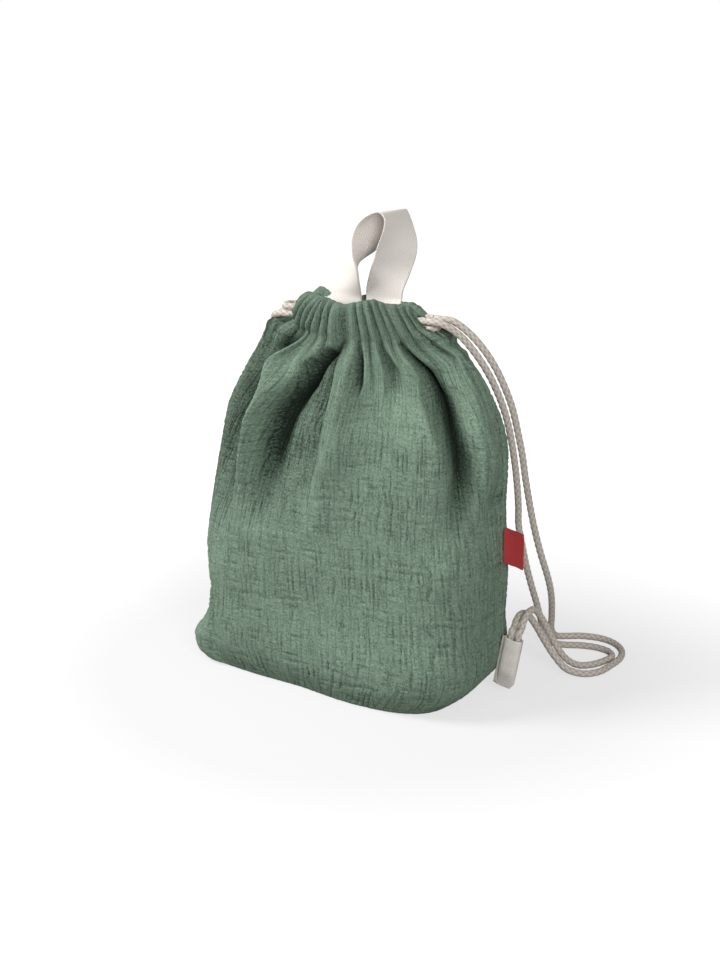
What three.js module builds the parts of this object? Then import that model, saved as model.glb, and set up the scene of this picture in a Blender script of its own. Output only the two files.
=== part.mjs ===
// A soft cotton drawstring backpack, drawn shut and standing on its base.
// Millimetres, +Z up, front towards -Y, +X to the right as seen from the front.
// The side seams lie in the plane y = 0, and z = 0 is the floor.
import * as THREE from 'three';

// Driving dimensions of the sewn body
const BASE_HALF_WIDTH = 107;
const BASE_FRONT_DEPTH = 59;
const BASE_BACK_DEPTH = 44;
const FOOT_HEIGHT = 12;
const FOOT_SIDE_FLARE = 12;
const FOOT_FACE_FLARE = 6;
const BELLY_HEIGHT = 70;
const BELLY_HALF_WIDTH = 124;
const BELLY_FRONT_DEPTH = 66;
const BELLY_BACK_DEPTH = 52;
const WAIST_HEIGHT = 140;
const WAIST_HALF_WIDTH = 122.5;
const WAIST_FRONT_DEPTH = 62;
const WAIST_BACK_DEPTH = 50;
const SHOULDER_HEIGHT = 205;
const SHOULDER_HALF_WIDTH = 117;
const SHOULDER_FRONT_DEPTH = 51;
const SHOULDER_BACK_DEPTH = 44;
const NECK_HALF_WIDTH = 95;
const NECK_FRONT_DEPTH = 40;
const NECK_BACK_DEPTH = 35;
const RIM_HEIGHT = 297;
const CLOTH = 2;
const LINING = 1;
const GAP = 0.3;

// Gathered mouth and the drawstring channel round it
const MOUTH_HALF_WIDTH = 60;
const MOUTH_FRONT_DEPTH = 24;
const MOUTH_BACK_DEPTH = 15;
const MOUTH_END_DEPTH = 6.5;
const CHANNEL_HEIGHT = 24;
const CHANNEL_THICKNESS = 12;
const CHANNEL_ROUNDING = 5;
const COLLAR_MARGIN = 4;
const COLLAR_BACK_DEPTH = 20;
const PLEAT_COUNT = 10;
const PLEAT_DEPTH = 1.6;
const PINCH_POWER = 0.6;

// Main folds of the front, each from its upper to its lower end, deepest in between. Heights are counted
// up from the shoulder line. A positive depth is a valley and a negative one a ridge. Ridges keep clear of
// the shoulder line, where the neck turns when the mouth opens.
const FRONT_FOLDS = [
  { upper: 65, deepest: 22, lower: -20, upperX: 0, lowerX: -64, spread: 12, depth: 24 },
  { upper: 15, deepest: -12, lower: -80, upperX: -48, lowerX: -53, spread: 12, depth: 18 },
  { upper: 55, deepest: 15, lower: -60, upperX: -8, lowerX: -24, spread: 13, depth: 7 },
  { upper: 61, deepest: 35, lower: 2, upperX: -54, lowerX: -67, spread: 11, depth: -13 },
  { upper: -2, deepest: -20, lower: -90, upperX: -69, lowerX: -80, spread: 12, depth: -10 },
  { upper: 58, deepest: 15, lower: -85, upperX: -64, lowerX: -96, spread: 14, depth: 11 },
  { upper: 60, deepest: 30, lower: 2, upperX: 12, lowerX: 10, spread: 11, depth: -10 },
  { upper: -2, deepest: -22, lower: -80, upperX: 10, lowerX: 6, spread: 14, depth: -9 },
  { upper: 62, deepest: 28, lower: 2, upperX: 44, lowerX: 79, spread: 12, depth: -12 },
  { upper: -2, deepest: -15, lower: -50, upperX: 84, lowerX: 98, spread: 12, depth: -9 },
  { upper: 63, deepest: 20, lower: -60, upperX: 58, lowerX: 126, spread: 9, depth: 13 },
];
// The folds die away towards the side seams, where the wall is shallower than this
const FOLD_SEAM_DEPTH = 30;

// Cord, webbing and label
const CORD_DIAMETER = 5.6;
const CORD_PLAY = 0.3;
const CORD_SIDES = 8;
const CORD_LEAD = 1.5;
const WEBBING = 1.8;
const HANDLE_WIDTH = 30;
const HANDLE_SHIFT = -1;
const HANDLE_LEG_SPACING = 35;
const HANDLE_FOOT_RISE = 1;
const HANDLE_END_LENGTH = 23;
const LABEL_REACH = 18;
const LABEL_HEIGHT = 28;
const LABEL_CENTRE = 123;
const LABEL_THICKNESS = 1.2;
const LABEL_GAP = 0.9;
const TAB_BOTTOM = 10;
const TAB_LENGTH = 42;
const TAB_LEAN = THREE.MathUtils.degToRad(10);
const TAB_WALL = 1.2;
const TAB_FLANGE = 1.5;
const TAB_FLANGE_THICKNESS = 2.2;
const TAB_GAP = 0.6;
const TAB_CORD_DEPTH = 22;

// Worked out from the dimensions above
const COLLAR_HEIGHT = RIM_HEIGHT - CHANNEL_HEIGHT - GAP;
const NECK_HEIGHT = (SHOULDER_HEIGHT + COLLAR_HEIGHT) / 2;
const CORD_RADIUS = CORD_DIAMETER / 2;
const CORD_SPACING = CORD_DIAMETER + CORD_PLAY;
const CHANNEL_CENTRE = RIM_HEIGHT - CHANNEL_HEIGHT / 2;
const UPPER_CORD = CHANNEL_CENTRE + CORD_SPACING / 2;
const LOWER_CORD = CHANNEL_CENTRE - CORD_SPACING / 2;
const LINING_INSET = CLOTH + GAP;
const FRONT = -1;
const BACK = 1;
const RIGHT = 1;
const LEFT = -1;

const cloth = new THREE.MeshStandardMaterial({ color: 0x7d967f, roughness: 0.95 });
const liningCloth = new THREE.MeshStandardMaterial({ color: 0x66796a, roughness: 0.95 });
const webbing = new THREE.MeshStandardMaterial({ color: 0xe9e2db, roughness: 0.9 });
const cordFibre = new THREE.MeshStandardMaterial({ color: 0xb4aca1, roughness: 0.9 });
const labelWeave = new THREE.MeshStandardMaterial({ color: 0xb8434a, roughness: 0.8 });

const bag = new THREE.Group();

function add(name, geometry, material) {
  const mesh = new THREE.Mesh(geometry, material);
  mesh.name = name;
  bag.add(mesh);
  return mesh;
}

// The bag's horizontal section at seven heights. The power of the superellipse sets how square it is.
const STATIONS = [
  {
    z: 0, width: BASE_HALF_WIDTH, front: BASE_FRONT_DEPTH, back: BASE_BACK_DEPTH,
    frontPower: 4.5, backPower: 2.6,
  },
  {
    z: FOOT_HEIGHT, width: BASE_HALF_WIDTH + FOOT_SIDE_FLARE,
    front: BASE_FRONT_DEPTH + FOOT_FACE_FLARE, back: BASE_BACK_DEPTH + FOOT_FACE_FLARE,
    frontPower: 4.8, backPower: 2.6,
  },
  {
    z: BELLY_HEIGHT, width: BELLY_HALF_WIDTH, front: BELLY_FRONT_DEPTH, back: BELLY_BACK_DEPTH,
    frontPower: 4.5, backPower: 2.4,
  },
  {
    z: WAIST_HEIGHT, width: WAIST_HALF_WIDTH, front: WAIST_FRONT_DEPTH, back: WAIST_BACK_DEPTH,
    frontPower: 3, backPower: 2.2,
  },
  {
    z: SHOULDER_HEIGHT, width: SHOULDER_HALF_WIDTH, front: SHOULDER_FRONT_DEPTH, back: SHOULDER_BACK_DEPTH,
    frontPower: 2.2, backPower: 2,
  },
  {
    z: NECK_HEIGHT, width: NECK_HALF_WIDTH, front: NECK_FRONT_DEPTH, back: NECK_BACK_DEPTH,
    frontPower: 2, backPower: 2,
  },
  {
    z: COLLAR_HEIGHT, width: MOUTH_HALF_WIDTH + COLLAR_MARGIN,
    front: MOUTH_FRONT_DEPTH + COLLAR_MARGIN, back: COLLAR_BACK_DEPTH,
    frontPower: 2, backPower: 2,
  },
];

// Slope of a profile at one station, from the stations on either side of it
function slope(index, key) {
  const before = STATIONS[Math.max(index - 1, 0)];
  const after = STATIONS[Math.min(index + 1, STATIONS.length - 1)];
  return (after[key] - before[key]) / (after.z - before.z);
}

// A smooth profile through the stations, read at one height
function profile(key, z) {
  let index = STATIONS.findLastIndex((station) => station.z <= z);
  index = THREE.MathUtils.clamp(index, 0, STATIONS.length - 2);
  const low = STATIONS[index];
  const high = STATIONS[index + 1];
  const span = high.z - low.z;
  const t = (z - low.z) / span;
  const rise = t * t * (3 - 2 * t);
  const lowBend = t * (1 - t) * (1 - t) * span * slope(index, key);
  const highBend = t * t * (t - 1) * span * slope(index + 1, key);
  return THREE.MathUtils.lerp(low[key], high[key], rise) + lowBend + highBend;
}

// How far the folds of the front draw its wall in at one place
function foldDepth(x, z) {
  const height = z - SHOULDER_HEIGHT;
  let total = 0;
  for (const fold of FRONT_FOLDS) {
    const along = THREE.MathUtils.clamp((fold.upper - height) / (fold.upper - fold.lower), 0, 1);
    const middle = THREE.MathUtils.lerp(fold.upperX, fold.lowerX, along);
    const fade = height > fold.deepest
      ? THREE.MathUtils.smoothstep(fold.upper - height, 0, fold.upper - fold.deepest)
      : THREE.MathUtils.smoothstep(height - fold.lower, 0, fold.deepest - fold.lower);
    total += fold.depth * fade * Math.exp(-(((x - middle) / fold.spread) ** 2));
  }
  return total;
}

// A point of the bag's wall. The angle runs from the right seam (0) to the left seam (pi).
// Towards the mouth the oval section is pinched at the seams and falls into pleats.
function wallPoint(side, angle, z, inset) {
  const name = side === FRONT ? 'front' : 'back';
  const width = profile('width', z) - inset;
  const depth = profile(name, z) - inset;
  const power = profile(`${name}Power`, z);
  const across = Math.cos(angle);
  const out = Math.abs(Math.sin(angle));
  const sum = (Math.abs(across) / width) ** power + (out / depth) ** power;
  const radius = sum ** (-1 / power);
  const pinched = depth * ((1 + Math.cos(Math.PI * across)) / 2) ** PINCH_POWER;
  const gather = THREE.MathUtils.smoothstep(z, SHOULDER_HEIGHT, COLLAR_HEIGHT);
  const pleat = PLEAT_DEPTH * gather * out * out * Math.cos(2 * PLEAT_COUNT * angle);
  const x = THREE.MathUtils.lerp(radius * across, width * across, gather) + pleat * across;
  const smoothY = THREE.MathUtils.lerp(radius * out, pinched, gather) + pleat * out;
  const y = side === FRONT ? smoothY - foldDepth(x, z) * Math.min(1, smoothY / FOLD_SEAM_DEPTH) : smoothY;
  return new THREE.Vector3(x, side * (GAP / 2 + y), z);
}

function signedVolume(positions, indices) {
  const corners = [new THREE.Vector3(), new THREE.Vector3(), new THREE.Vector3()];
  let volume = 0;
  for (let i = 0; i < indices.length; i += 3) {
    corners.forEach((corner, k) => corner.fromArray(positions, 3 * indices[i + k]));
    volume += corners[0].dot(corners[1].cross(corners[2]));
  }
  return volume;
}

// A closed skin between two grids of points, outer[column][row] and inner[column][row].
// With wrap, each column is a closed loop and the skin is a pipe with an open bore.
function shell(outer, inner, wrap = false) {
  const columns = outer.length;
  const rows = outer[0].length;
  const positions = [];
  outer.concat(inner).flat().forEach((point) => positions.push(point.x, point.y, point.z));
  const outerAt = (column, row) => column * rows + row % rows;
  const innerAt = (column, row) => (columns + column) * rows + row % rows;
  const indices = [];
  const quad = (a, b, c, d) => indices.push(a, b, c, a, c, d);
  const steps = wrap ? rows : rows - 1;
  for (let column = 0; column < columns - 1; column += 1) {
    const next = column + 1;
    for (let row = 0; row < steps; row += 1) {
      quad(outerAt(column, row), outerAt(next, row), outerAt(next, row + 1), outerAt(column, row + 1));
      quad(innerAt(column, row), innerAt(column, row + 1), innerAt(next, row + 1), innerAt(next, row));
    }
    if (!wrap) {
      quad(outerAt(column, 0), innerAt(column, 0), innerAt(next, 0), outerAt(next, 0));
      const top = rows - 1;
      quad(outerAt(column, top), outerAt(next, top), innerAt(next, top), innerAt(column, top));
    }
  }
  const last = columns - 1;
  for (let row = 0; row < steps; row += 1) {
    quad(outerAt(0, row), outerAt(0, row + 1), innerAt(0, row + 1), innerAt(0, row));
    quad(outerAt(last, row), innerAt(last, row), innerAt(last, row + 1), outerAt(last, row + 1));
  }
  if (signedVolume(positions, indices) < 0) {
    indices.reverse();
  }
  const geometry = new THREE.BufferGeometry();
  geometry.setAttribute('position', new THREE.Float32BufferAttribute(positions, 3));
  geometry.setIndex(indices);
  geometry.computeVertexNormals();
  return geometry;
}

// Row heights between two levels, closer together at the bottom for a crowding above 1
function rowHeights(low, high, rows, crowding) {
  const shares = Array.from({ length: rows + 1 }, (_, row) => (row / rows) ** crowding);
  return shares.map((share) => THREE.MathUtils.lerp(low, high, share));
}

// One layer of the wall, from seam to seam on one side of the bag
function wallPanel(side, heights, inset, thickness, columns) {
  const grid = (depth) => Array.from({ length: columns + 1 }, (_, column) => (
    heights.map((z) => wallPoint(side, Math.PI * column / columns, z, depth))));
  return shell(grid(inset), grid(inset + thickness));
}

const PANEL_COLUMNS = 28;
const NECK_COLUMNS = 40;

// A flat panel with the outline of the bag's section at one height
function floorPanel(z, inset, thickness) {
  const outline = [];
  for (let step = 0; step <= PANEL_COLUMNS; step += 1) {
    outline.push(wallPoint(BACK, Math.PI * step / PANEL_COLUMNS, z, inset));
  }
  for (let step = PANEL_COLUMNS - 1; step > 0; step -= 1) {
    outline.push(wallPoint(FRONT, Math.PI * step / PANEL_COLUMNS, z, inset));
  }
  const shape = new THREE.Shape(outline.map((point) => new THREE.Vector2(point.x, point.y)));
  const geometry = new THREE.ExtrudeGeometry(shape, { depth: thickness, bevelEnabled: false });
  return geometry.translate(0, 0, z);
}

// Outer panels and lining. The layers share their row heights, so that they stay apart all the way up.
const LINING_FLOOR = CLOTH + GAP;
const PANEL_ROWS = rowHeights(LINING_FLOOR, SHOULDER_HEIGHT - GAP / 2, 8, 1.5);
const NECK_ROWS = rowHeights(SHOULDER_HEIGHT + GAP / 2, COLLAR_HEIGHT, 4, 1);
for (const [side, name] of [[FRONT, 'front'], [BACK, 'back']]) {
  add(`${name}_panel`, wallPanel(side, [0, ...PANEL_ROWS], 0, CLOTH, PANEL_COLUMNS), cloth);
  add(`${name}_lining`, wallPanel(side, PANEL_ROWS, LINING_INSET, LINING, PANEL_COLUMNS), liningCloth);
  add(`${name}_neck`, wallPanel(side, NECK_ROWS, 0, CLOTH, NECK_COLUMNS), cloth);
  add(`${name}_neck_lining`, wallPanel(side, NECK_ROWS, LINING_INSET, LINING, NECK_COLUMNS), liningCloth);
}
add('base_panel', floorPanel(0, CLOTH + GAP, CLOTH), cloth);
add('base_lining', floorPanel(LINING_FLOOR, LINING_INSET + LINING + GAP, LINING), liningCloth);

// The line of the drawstring channel seen from above, moved outwards by an offset.
// Both halves run parallel to X at their open ends, where the cords come out.
function mouthPoint(side, x, offset, z) {
  const depth = side === FRONT ? MOUTH_FRONT_DEPTH : MOUTH_BACK_DEPTH;
  const swell = depth - MOUTH_END_DEPTH;
  const turn = Math.PI * x / MOUTH_HALF_WIDTH;
  const y = MOUTH_END_DEPTH + swell * (1 + Math.cos(turn)) / 2;
  const steepness = -swell * Math.sin(turn) * Math.PI / MOUTH_HALF_WIDTH / 2;
  const normal = new THREE.Vector2(-steepness, 1).normalize().multiplyScalar(offset);
  return new THREE.Vector3(x + normal.x, side * (y + normal.y), z);
}

// Corner points of a rounded rectangle, three to a corner, centred on the origin
function roundedRectangle(halfWidth, halfHeight, radius) {
  const points = [];
  for (let corner = 0; corner < 4; corner += 1) {
    const right = corner === 0 || corner === 3;
    const centreX = (halfWidth - radius) * (right ? 1 : -1);
    const centreY = (halfHeight - radius) * (corner < 2 ? 1 : -1);
    for (let step = 0; step <= 2; step += 1) {
      const angle = (corner + step / 2) * Math.PI / 2;
      points.push(new THREE.Vector2(centreX + radius * Math.cos(angle), centreY + radius * Math.sin(angle)));
    }
  }
  return points;
}

// One half of the channel: a padded sleeve with a slot for two cords, open at both ends
function channelHalf(side) {
  const steps = 24;
  const slotHalfWidth = CORD_RADIUS + CORD_PLAY;
  const slotHalfHeight = CORD_DIAMETER + CORD_PLAY * 1.5;
  const outside = roundedRectangle(CHANNEL_THICKNESS / 2, CHANNEL_HEIGHT / 2, CHANNEL_ROUNDING);
  const slot = roundedRectangle(slotHalfWidth, slotHalfHeight, CORD_RADIUS / 2);
  const sweep = (section) => Array.from({ length: steps + 1 }, (_, step) => {
    const x = THREE.MathUtils.lerp(-MOUTH_HALF_WIDTH, MOUTH_HALF_WIDTH, step / steps);
    return section.map((point) => mouthPoint(side, x, point.x, CHANNEL_CENTRE + point.y));
  });
  return shell(sweep(outside), sweep(slot), true);
}
add('front_channel', channelHalf(FRONT), cloth);
add('back_channel', channelHalf(BACK), cloth);

function cordAlong(points, steps) {
  const section = new THREE.Shape();
  for (let side = 0; side < CORD_SIDES; side += 1) {
    const angle = 2 * Math.PI * side / CORD_SIDES;
    const x = CORD_RADIUS * Math.cos(angle);
    const y = CORD_RADIUS * Math.sin(angle);
    if (side === 0) {
      section.moveTo(x, y);
    } else {
      section.lineTo(x, y);
    }
  }
  const places = points.map((point) => new THREE.Vector3(...point));
  const path = new THREE.CatmullRomCurve3(places, false, 'centripetal');
  return new THREE.ExtrudeGeometry(section, { steps, bevelEnabled: false, extrudePath: path });
}

// The stretch of a cord inside one half of the channel. Its ends are straight, so that they meet the
// next stretch squarely.
function cordRun(side, z) {
  const reach = MOUTH_HALF_WIDTH - GAP / 2;
  const bend = reach - CORD_LEAD;
  const places = [-reach];
  for (let step = 0; step <= 12; step += 1) {
    places.push(THREE.MathUtils.lerp(-bend, bend, step / 12));
  }
  places.push(reach);
  return cordAlong(places.map((x) => mouthPoint(side, x, 0, z).toArray()), 18);
}

// Where a cord turns back at the far end of the channel
function cordTurn(end, z) {
  const start = MOUTH_HALF_WIDTH + GAP / 2;
  const points = [[end * start, -MOUTH_END_DEPTH, z]];
  for (let step = 0; step <= 8; step += 1) {
    const angle = -Math.PI / 2 + Math.PI * step / 8;
    const x = start + CORD_LEAD + MOUTH_END_DEPTH * Math.cos(angle);
    points.push([end * x, MOUTH_END_DEPTH * Math.sin(angle), z]);
  }
  points.push([end * start, MOUTH_END_DEPTH, z]);
  return cordAlong(points, 10);
}

for (const [side, name] of [[FRONT, 'front'], [BACK, 'back']]) {
  add(`right_cord_${name}_run`, cordRun(side, UPPER_CORD), cordFibre);
  add(`left_cord_${name}_run`, cordRun(side, LOWER_CORD), cordFibre);
}
add('right_cord_turn', cordTurn(LEFT, UPPER_CORD), cordFibre);
add('left_cord_turn', cordTurn(RIGHT, LOWER_CORD), cordFibre);

// Side tabs: a strip of webbing folded lengthwise round the two cord ends and caught in the side seam.
// Across the tab, x runs outwards from the seam and y is its thickness.
const TAB_BORE_HALF = CORD_RADIUS + CORD_PLAY;
const TAB_BORE_LENGTH = 2 * CORD_DIAMETER + 3 * CORD_PLAY;
const TAB_SLEEVE = TAB_BORE_LENGTH + 2 * TAB_WALL;
const INNER_TAB_CORD = TAB_FLANGE + TAB_WALL + CORD_PLAY + CORD_RADIUS;
const OUTER_TAB_CORD = INNER_TAB_CORD + CORD_SPACING;

// The tab stands where its leaning edge just clears the seam
function tabFoot() {
  let x = 0;
  for (let rise = 0; rise <= TAB_LENGTH; rise += 1) {
    const z = TAB_BOTTOM + rise * Math.cos(TAB_LEAN);
    x = Math.max(x, profile('width', z) - rise * Math.sin(TAB_LEAN));
  }
  return x + TAB_GAP;
}
const TAB_FOOT = tabFoot();

// A point on the tab, at a distance up its seam edge and another out from it
function tabPoint(up, out) {
  const x = TAB_FOOT + up * Math.sin(TAB_LEAN) + out * Math.cos(TAB_LEAN);
  const z = TAB_BOTTOM + up * Math.cos(TAB_LEAN) - out * Math.sin(TAB_LEAN);
  return [x, 0, z];
}

// A long rounded outline, begun at the middle of its seam end
function stadium(centre, length, halfThickness) {
  const quarter = 6;
  const reach = length / 2 - halfThickness;
  const points = [];
  for (let step = 0; step <= 4 * quarter + 1; step += 1) {
    const onOuterEnd = step > quarter && step <= 3 * quarter + 1;
    const turns = step - (step > quarter ? 1 : 0) - (step > 3 * quarter + 1 ? 1 : 0);
    const angle = Math.PI + turns * Math.PI / 2 / quarter;
    const x = centre + (onOuterEnd ? reach : -reach) + halfThickness * Math.cos(angle);
    points.push(new THREE.Vector2(x, halfThickness * Math.sin(angle)));
  }
  return points;
}

function tab() {
  const centre = TAB_FLANGE + TAB_SLEEVE / 2;
  const flangeHalf = TAB_FLANGE_THICKNESS / 2;
  const outline = stadium(centre, TAB_SLEEVE, TAB_BORE_HALF + TAB_WALL);
  const meetsFlange = (point) => point.x < centre && Math.abs(point.y) < flangeHalf;
  const flange = [new THREE.Vector2(0, flangeHalf), new THREE.Vector2(0, -flangeHalf)];
  const shape = new THREE.Shape(outline.filter((point) => !meetsFlange(point)).concat(flange));
  shape.holes.push(new THREE.Path(stadium(centre, TAB_BORE_LENGTH, TAB_BORE_HALF)));
  return new THREE.ExtrudeGeometry(shape, { depth: TAB_LENGTH, bevelEnabled: false });
}
for (const [end, name] of [[RIGHT, 'right'], [LEFT, 'left']]) {
  const mesh = add(`${name}_tab`, tab(), webbing);
  mesh.position.set(end * TAB_FOOT, 0, TAB_BOTTOM);
  mesh.rotation.set(0, end * TAB_LEAN, end === LEFT ? Math.PI : 0);
}

// Routes of the four free strands. Heights above the waist are counted down from the rim,
// and x is counted from the waist's half width, so that the cord keeps its distance from the cloth.
const W = WAIST_HALF_WIDTH;
const R = RIM_HEIGHT;
const START = MOUTH_HALF_WIDTH + GAP / 2;
const FLOOR = CORD_RADIUS + GAP;
const frontStrandTop = (z) => [
  [START, -MOUTH_END_DEPTH, z], [START + 6, -MOUTH_END_DEPTH, z], [W - 49, -3.5, z - 2],
];
const backStrandTop = (z) => [
  [START, MOUTH_END_DEPTH, z], [START + 6, MOUTH_END_DEPTH, z], [W - 49, 9, z - 1],
];
const frontStrandSide = [
  [W - 39.5, 3, R - 19], [W - 30.5, 10, R - 32], [W - 22.5, 17, R - 48], [W - 17.5, 24, R - 64],
  [W - 14.5, 31, R - 80], [W - 12.5, 37, R - 97], [W - 11.5, 43, R - 116], [W - 11.5, 50, R - 138],
  [W - 12.5, 57, 136], [W - 14.5, 63, 118], [W - 13.5, 69, 99], [W - 12.5, 76, 80], [W - 10.5, 83, 61],
  [W - 8.5, 90, 44], [W - 7.5, 97, 28], [W - 6.5, 103, 14], [W - 1.5, 107, 5],
];
const backStrandSide = [
  [W - 38.5, 14, R - 18], [W - 28.5, 19, R - 30], [W - 20.5, 25, R - 45], [W - 14.5, 31, R - 62],
  [W - 11, 37, R - 78], [W - 8.5, 43, R - 98], [W - 7, 49, R - 117], [W - 6.5, 56, R - 139],
  [W - 5.5, 63, 136], [W - 3.5, 70, 113], [W - 0.5, 77, 91], [W + 2.5, 84, 72], [W + 3, 91, 57],
  [W + 1.5, 98, 43], [W - 1.5, 106, 28], [W - 4.5, 114, 13], [W - 3.5, 122, 5],
];
const frontStrandLoop = [
  [W + 7.5, 111, FLOOR], [W + 21.5, 117, FLOOR], [W + 34.5, 119, FLOOR], [W + 45.5, 116, FLOOR],
  [W + 51.5, 108, FLOOR], [W + 49.5, 96, FLOOR], [W + 43.5, 84, FLOOR], [W + 36.5, 74, 5], [W + 31, 67, 10],
  [W + 26.5, 61, 18], [W + 20.5, 54, 34], [W + 16.5, 45, 50], [W + 14.5, 35, 61], [W + 15, 23, 64.5],
  [W + 15.5, 12, 62], [W + 16.5, 4, 56],
];
const backStrandLoop = [
  [W + 3.5, 130, FLOOR], [W + 13.5, 136, FLOOR], [W + 29.5, 139, FLOOR], [W + 42.5, 135, FLOOR],
  [W + 53.5, 124, FLOOR], [W + 58.5, 109, FLOOR], [W + 57.5, 91, FLOOR], [W + 53.5, 73, FLOOR],
  [W + 44.5, 62, 4], [W + 33.5, 56, 8], [W + 24, 53.5, 18], [W + 16.5, 48, 33], [W + 12.5, 40, 47],
  [W + 9.5, 31, 58], [W + 8.5, 21, 61.5], [W + 9, 11, 59], [W + 10.5, 4, 55.5],
];
// The left cord drops behind the shoulder sooner than the right one
const leanBack = (points) => points.map(([x, y, z], index) => {
  const lean = 10 * Math.sin(Math.PI * Math.min((index + 1) / 9, 1));
  return [x, y + lean, z];
});
const aboveTab = (out) => [tabPoint(TAB_LENGTH + CORD_DIAMETER, out), tabPoint(TAB_LENGTH + GAP, out)];
const mirror = (points) => points.map(([x, y, z]) => [-x, y, z]);
const STRAND_STEPS = 54;
const rightFront = [
  ...frontStrandTop(UPPER_CORD), ...frontStrandSide, ...frontStrandLoop, ...aboveTab(OUTER_TAB_CORD),
];
const rightBack = [
  ...backStrandTop(UPPER_CORD), ...backStrandSide, ...backStrandLoop, ...aboveTab(INNER_TAB_CORD),
];
const leftFront = [
  ...frontStrandTop(LOWER_CORD), ...leanBack(frontStrandSide), ...frontStrandLoop,
  ...aboveTab(OUTER_TAB_CORD),
];
const leftBack = [
  ...backStrandTop(LOWER_CORD), ...leanBack(backStrandSide), ...backStrandLoop, ...aboveTab(INNER_TAB_CORD),
];
add('right_cord_front_strand', cordAlong(rightFront, STRAND_STEPS), cordFibre);
add('right_cord_back_strand', cordAlong(rightBack, STRAND_STEPS), cordFibre);
add('left_cord_front_strand', cordAlong(mirror(leftFront), STRAND_STEPS), cordFibre);
add('left_cord_back_strand', cordAlong(mirror(leftBack), STRAND_STEPS), cordFibre);

// The cord ends held inside the tabs
const insideTab = (out) => [tabPoint(TAB_LENGTH, out), tabPoint(TAB_LENGTH - TAB_CORD_DEPTH, out)];
for (const [name, out] of [['front', OUTER_TAB_CORD], ['back', INNER_TAB_CORD]]) {
  add(`right_cord_${name}_end`, cordAlong(insideTab(out), 1), cordFibre);
  add(`left_cord_${name}_end`, cordAlong(mirror(insideTab(out)), 1), cordFibre);
}

// Sewn ends of the handle, flat against the inside of the back channel
const HANDLE_FACE = CHANNEL_THICKNESS / 2 + GAP;
const HANDLE_FOOT = RIM_HEIGHT + HANDLE_FOOT_RISE;
const HANDLE_END_TOP = HANDLE_FOOT - GAP;
function handleEnd(centre) {
  const steps = 5;
  const face = (offset) => Array.from({ length: steps + 1 }, (_, step) => {
    const x = centre + HANDLE_WIDTH * (step / steps - 0.5);
    return [HANDLE_END_TOP - HANDLE_END_LENGTH, HANDLE_END_TOP].map((z) => mouthPoint(BACK, x, -offset, z));
  });
  return shell(face(HANDLE_FACE), face(HANDLE_FACE + WEBBING));
}
const LEFT_LEG = HANDLE_SHIFT - HANDLE_LEG_SPACING / 2;
const RIGHT_LEG = HANDLE_SHIFT + HANDLE_LEG_SPACING / 2;
add('left_handle_end', handleEnd(LEFT_LEG), webbing);
add('right_handle_end', handleEnd(RIGHT_LEG), webbing);

// The handle's loop: webbing that stands on the rim and twists to lie across the bag at its top.
// Each point is x from the middle of the two legs, height above the sewn ends, and the twist in degrees.
const HANDLE_ROUTE = [
  [-HANDLE_LEG_SPACING / 2, 0, 0], [-14.5, 14, 28], [-8, 31, 60], [0, 48, 76], [11, 61, 86], [23.5, 67, 90],
  [32.5, 59, 94], [34, 45, 108], [29, 29, 132], [21.5, 14, 160], [HANDLE_LEG_SPACING / 2, 0, 180],
];
const HANDLE_Y = mouthPoint(BACK, HANDLE_SHIFT, -(HANDLE_FACE + WEBBING / 2), 0).y;
function handleLoop() {
  const steps = 36;
  const place = ([x, z]) => new THREE.Vector3(HANDLE_SHIFT + x, HANDLE_Y, HANDLE_FOOT + z);
  const path = new THREE.CatmullRomCurve3(HANDLE_ROUTE.map(place));
  const twists = new THREE.CatmullRomCurve3(HANDLE_ROUTE.map((point) => new THREE.Vector3(point[2], 0, 0)));
  const face = (half) => Array.from({ length: steps + 1 }, (_, step) => {
    const twist = THREE.MathUtils.degToRad(twists.getPoint(step / steps).x);
    const across = new THREE.Vector3(Math.cos(twist), -Math.sin(twist), 0);
    const normal = path.getTangent(step / steps).cross(across).normalize();
    const centre = path.getPoint(step / steps).addScaledVector(normal, half * WEBBING / 2);
    return [-0.5, 0.5].map((edge) => centre.clone().addScaledVector(across, edge * HANDLE_WIDTH));
  });
  return shell(face(1), face(-1));
}
add('handle_loop', handleLoop(), webbing);

// The label folded into the right seam
const labelEdge = profile('width', LABEL_CENTRE - LABEL_HEIGHT / 2) + LABEL_GAP;
const labelSheet = new THREE.BoxGeometry(LABEL_REACH, LABEL_THICKNESS, LABEL_HEIGHT);
const label = add('side_label', labelSheet, labelWeave);
label.position.set(labelEdge + LABEL_REACH / 2, 0, LABEL_CENTRE);

export default bag;
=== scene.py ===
"""Looks of a small drawstring backpack: gathered gauze cotton, braided cords and a webbing loop."""
import math

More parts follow.
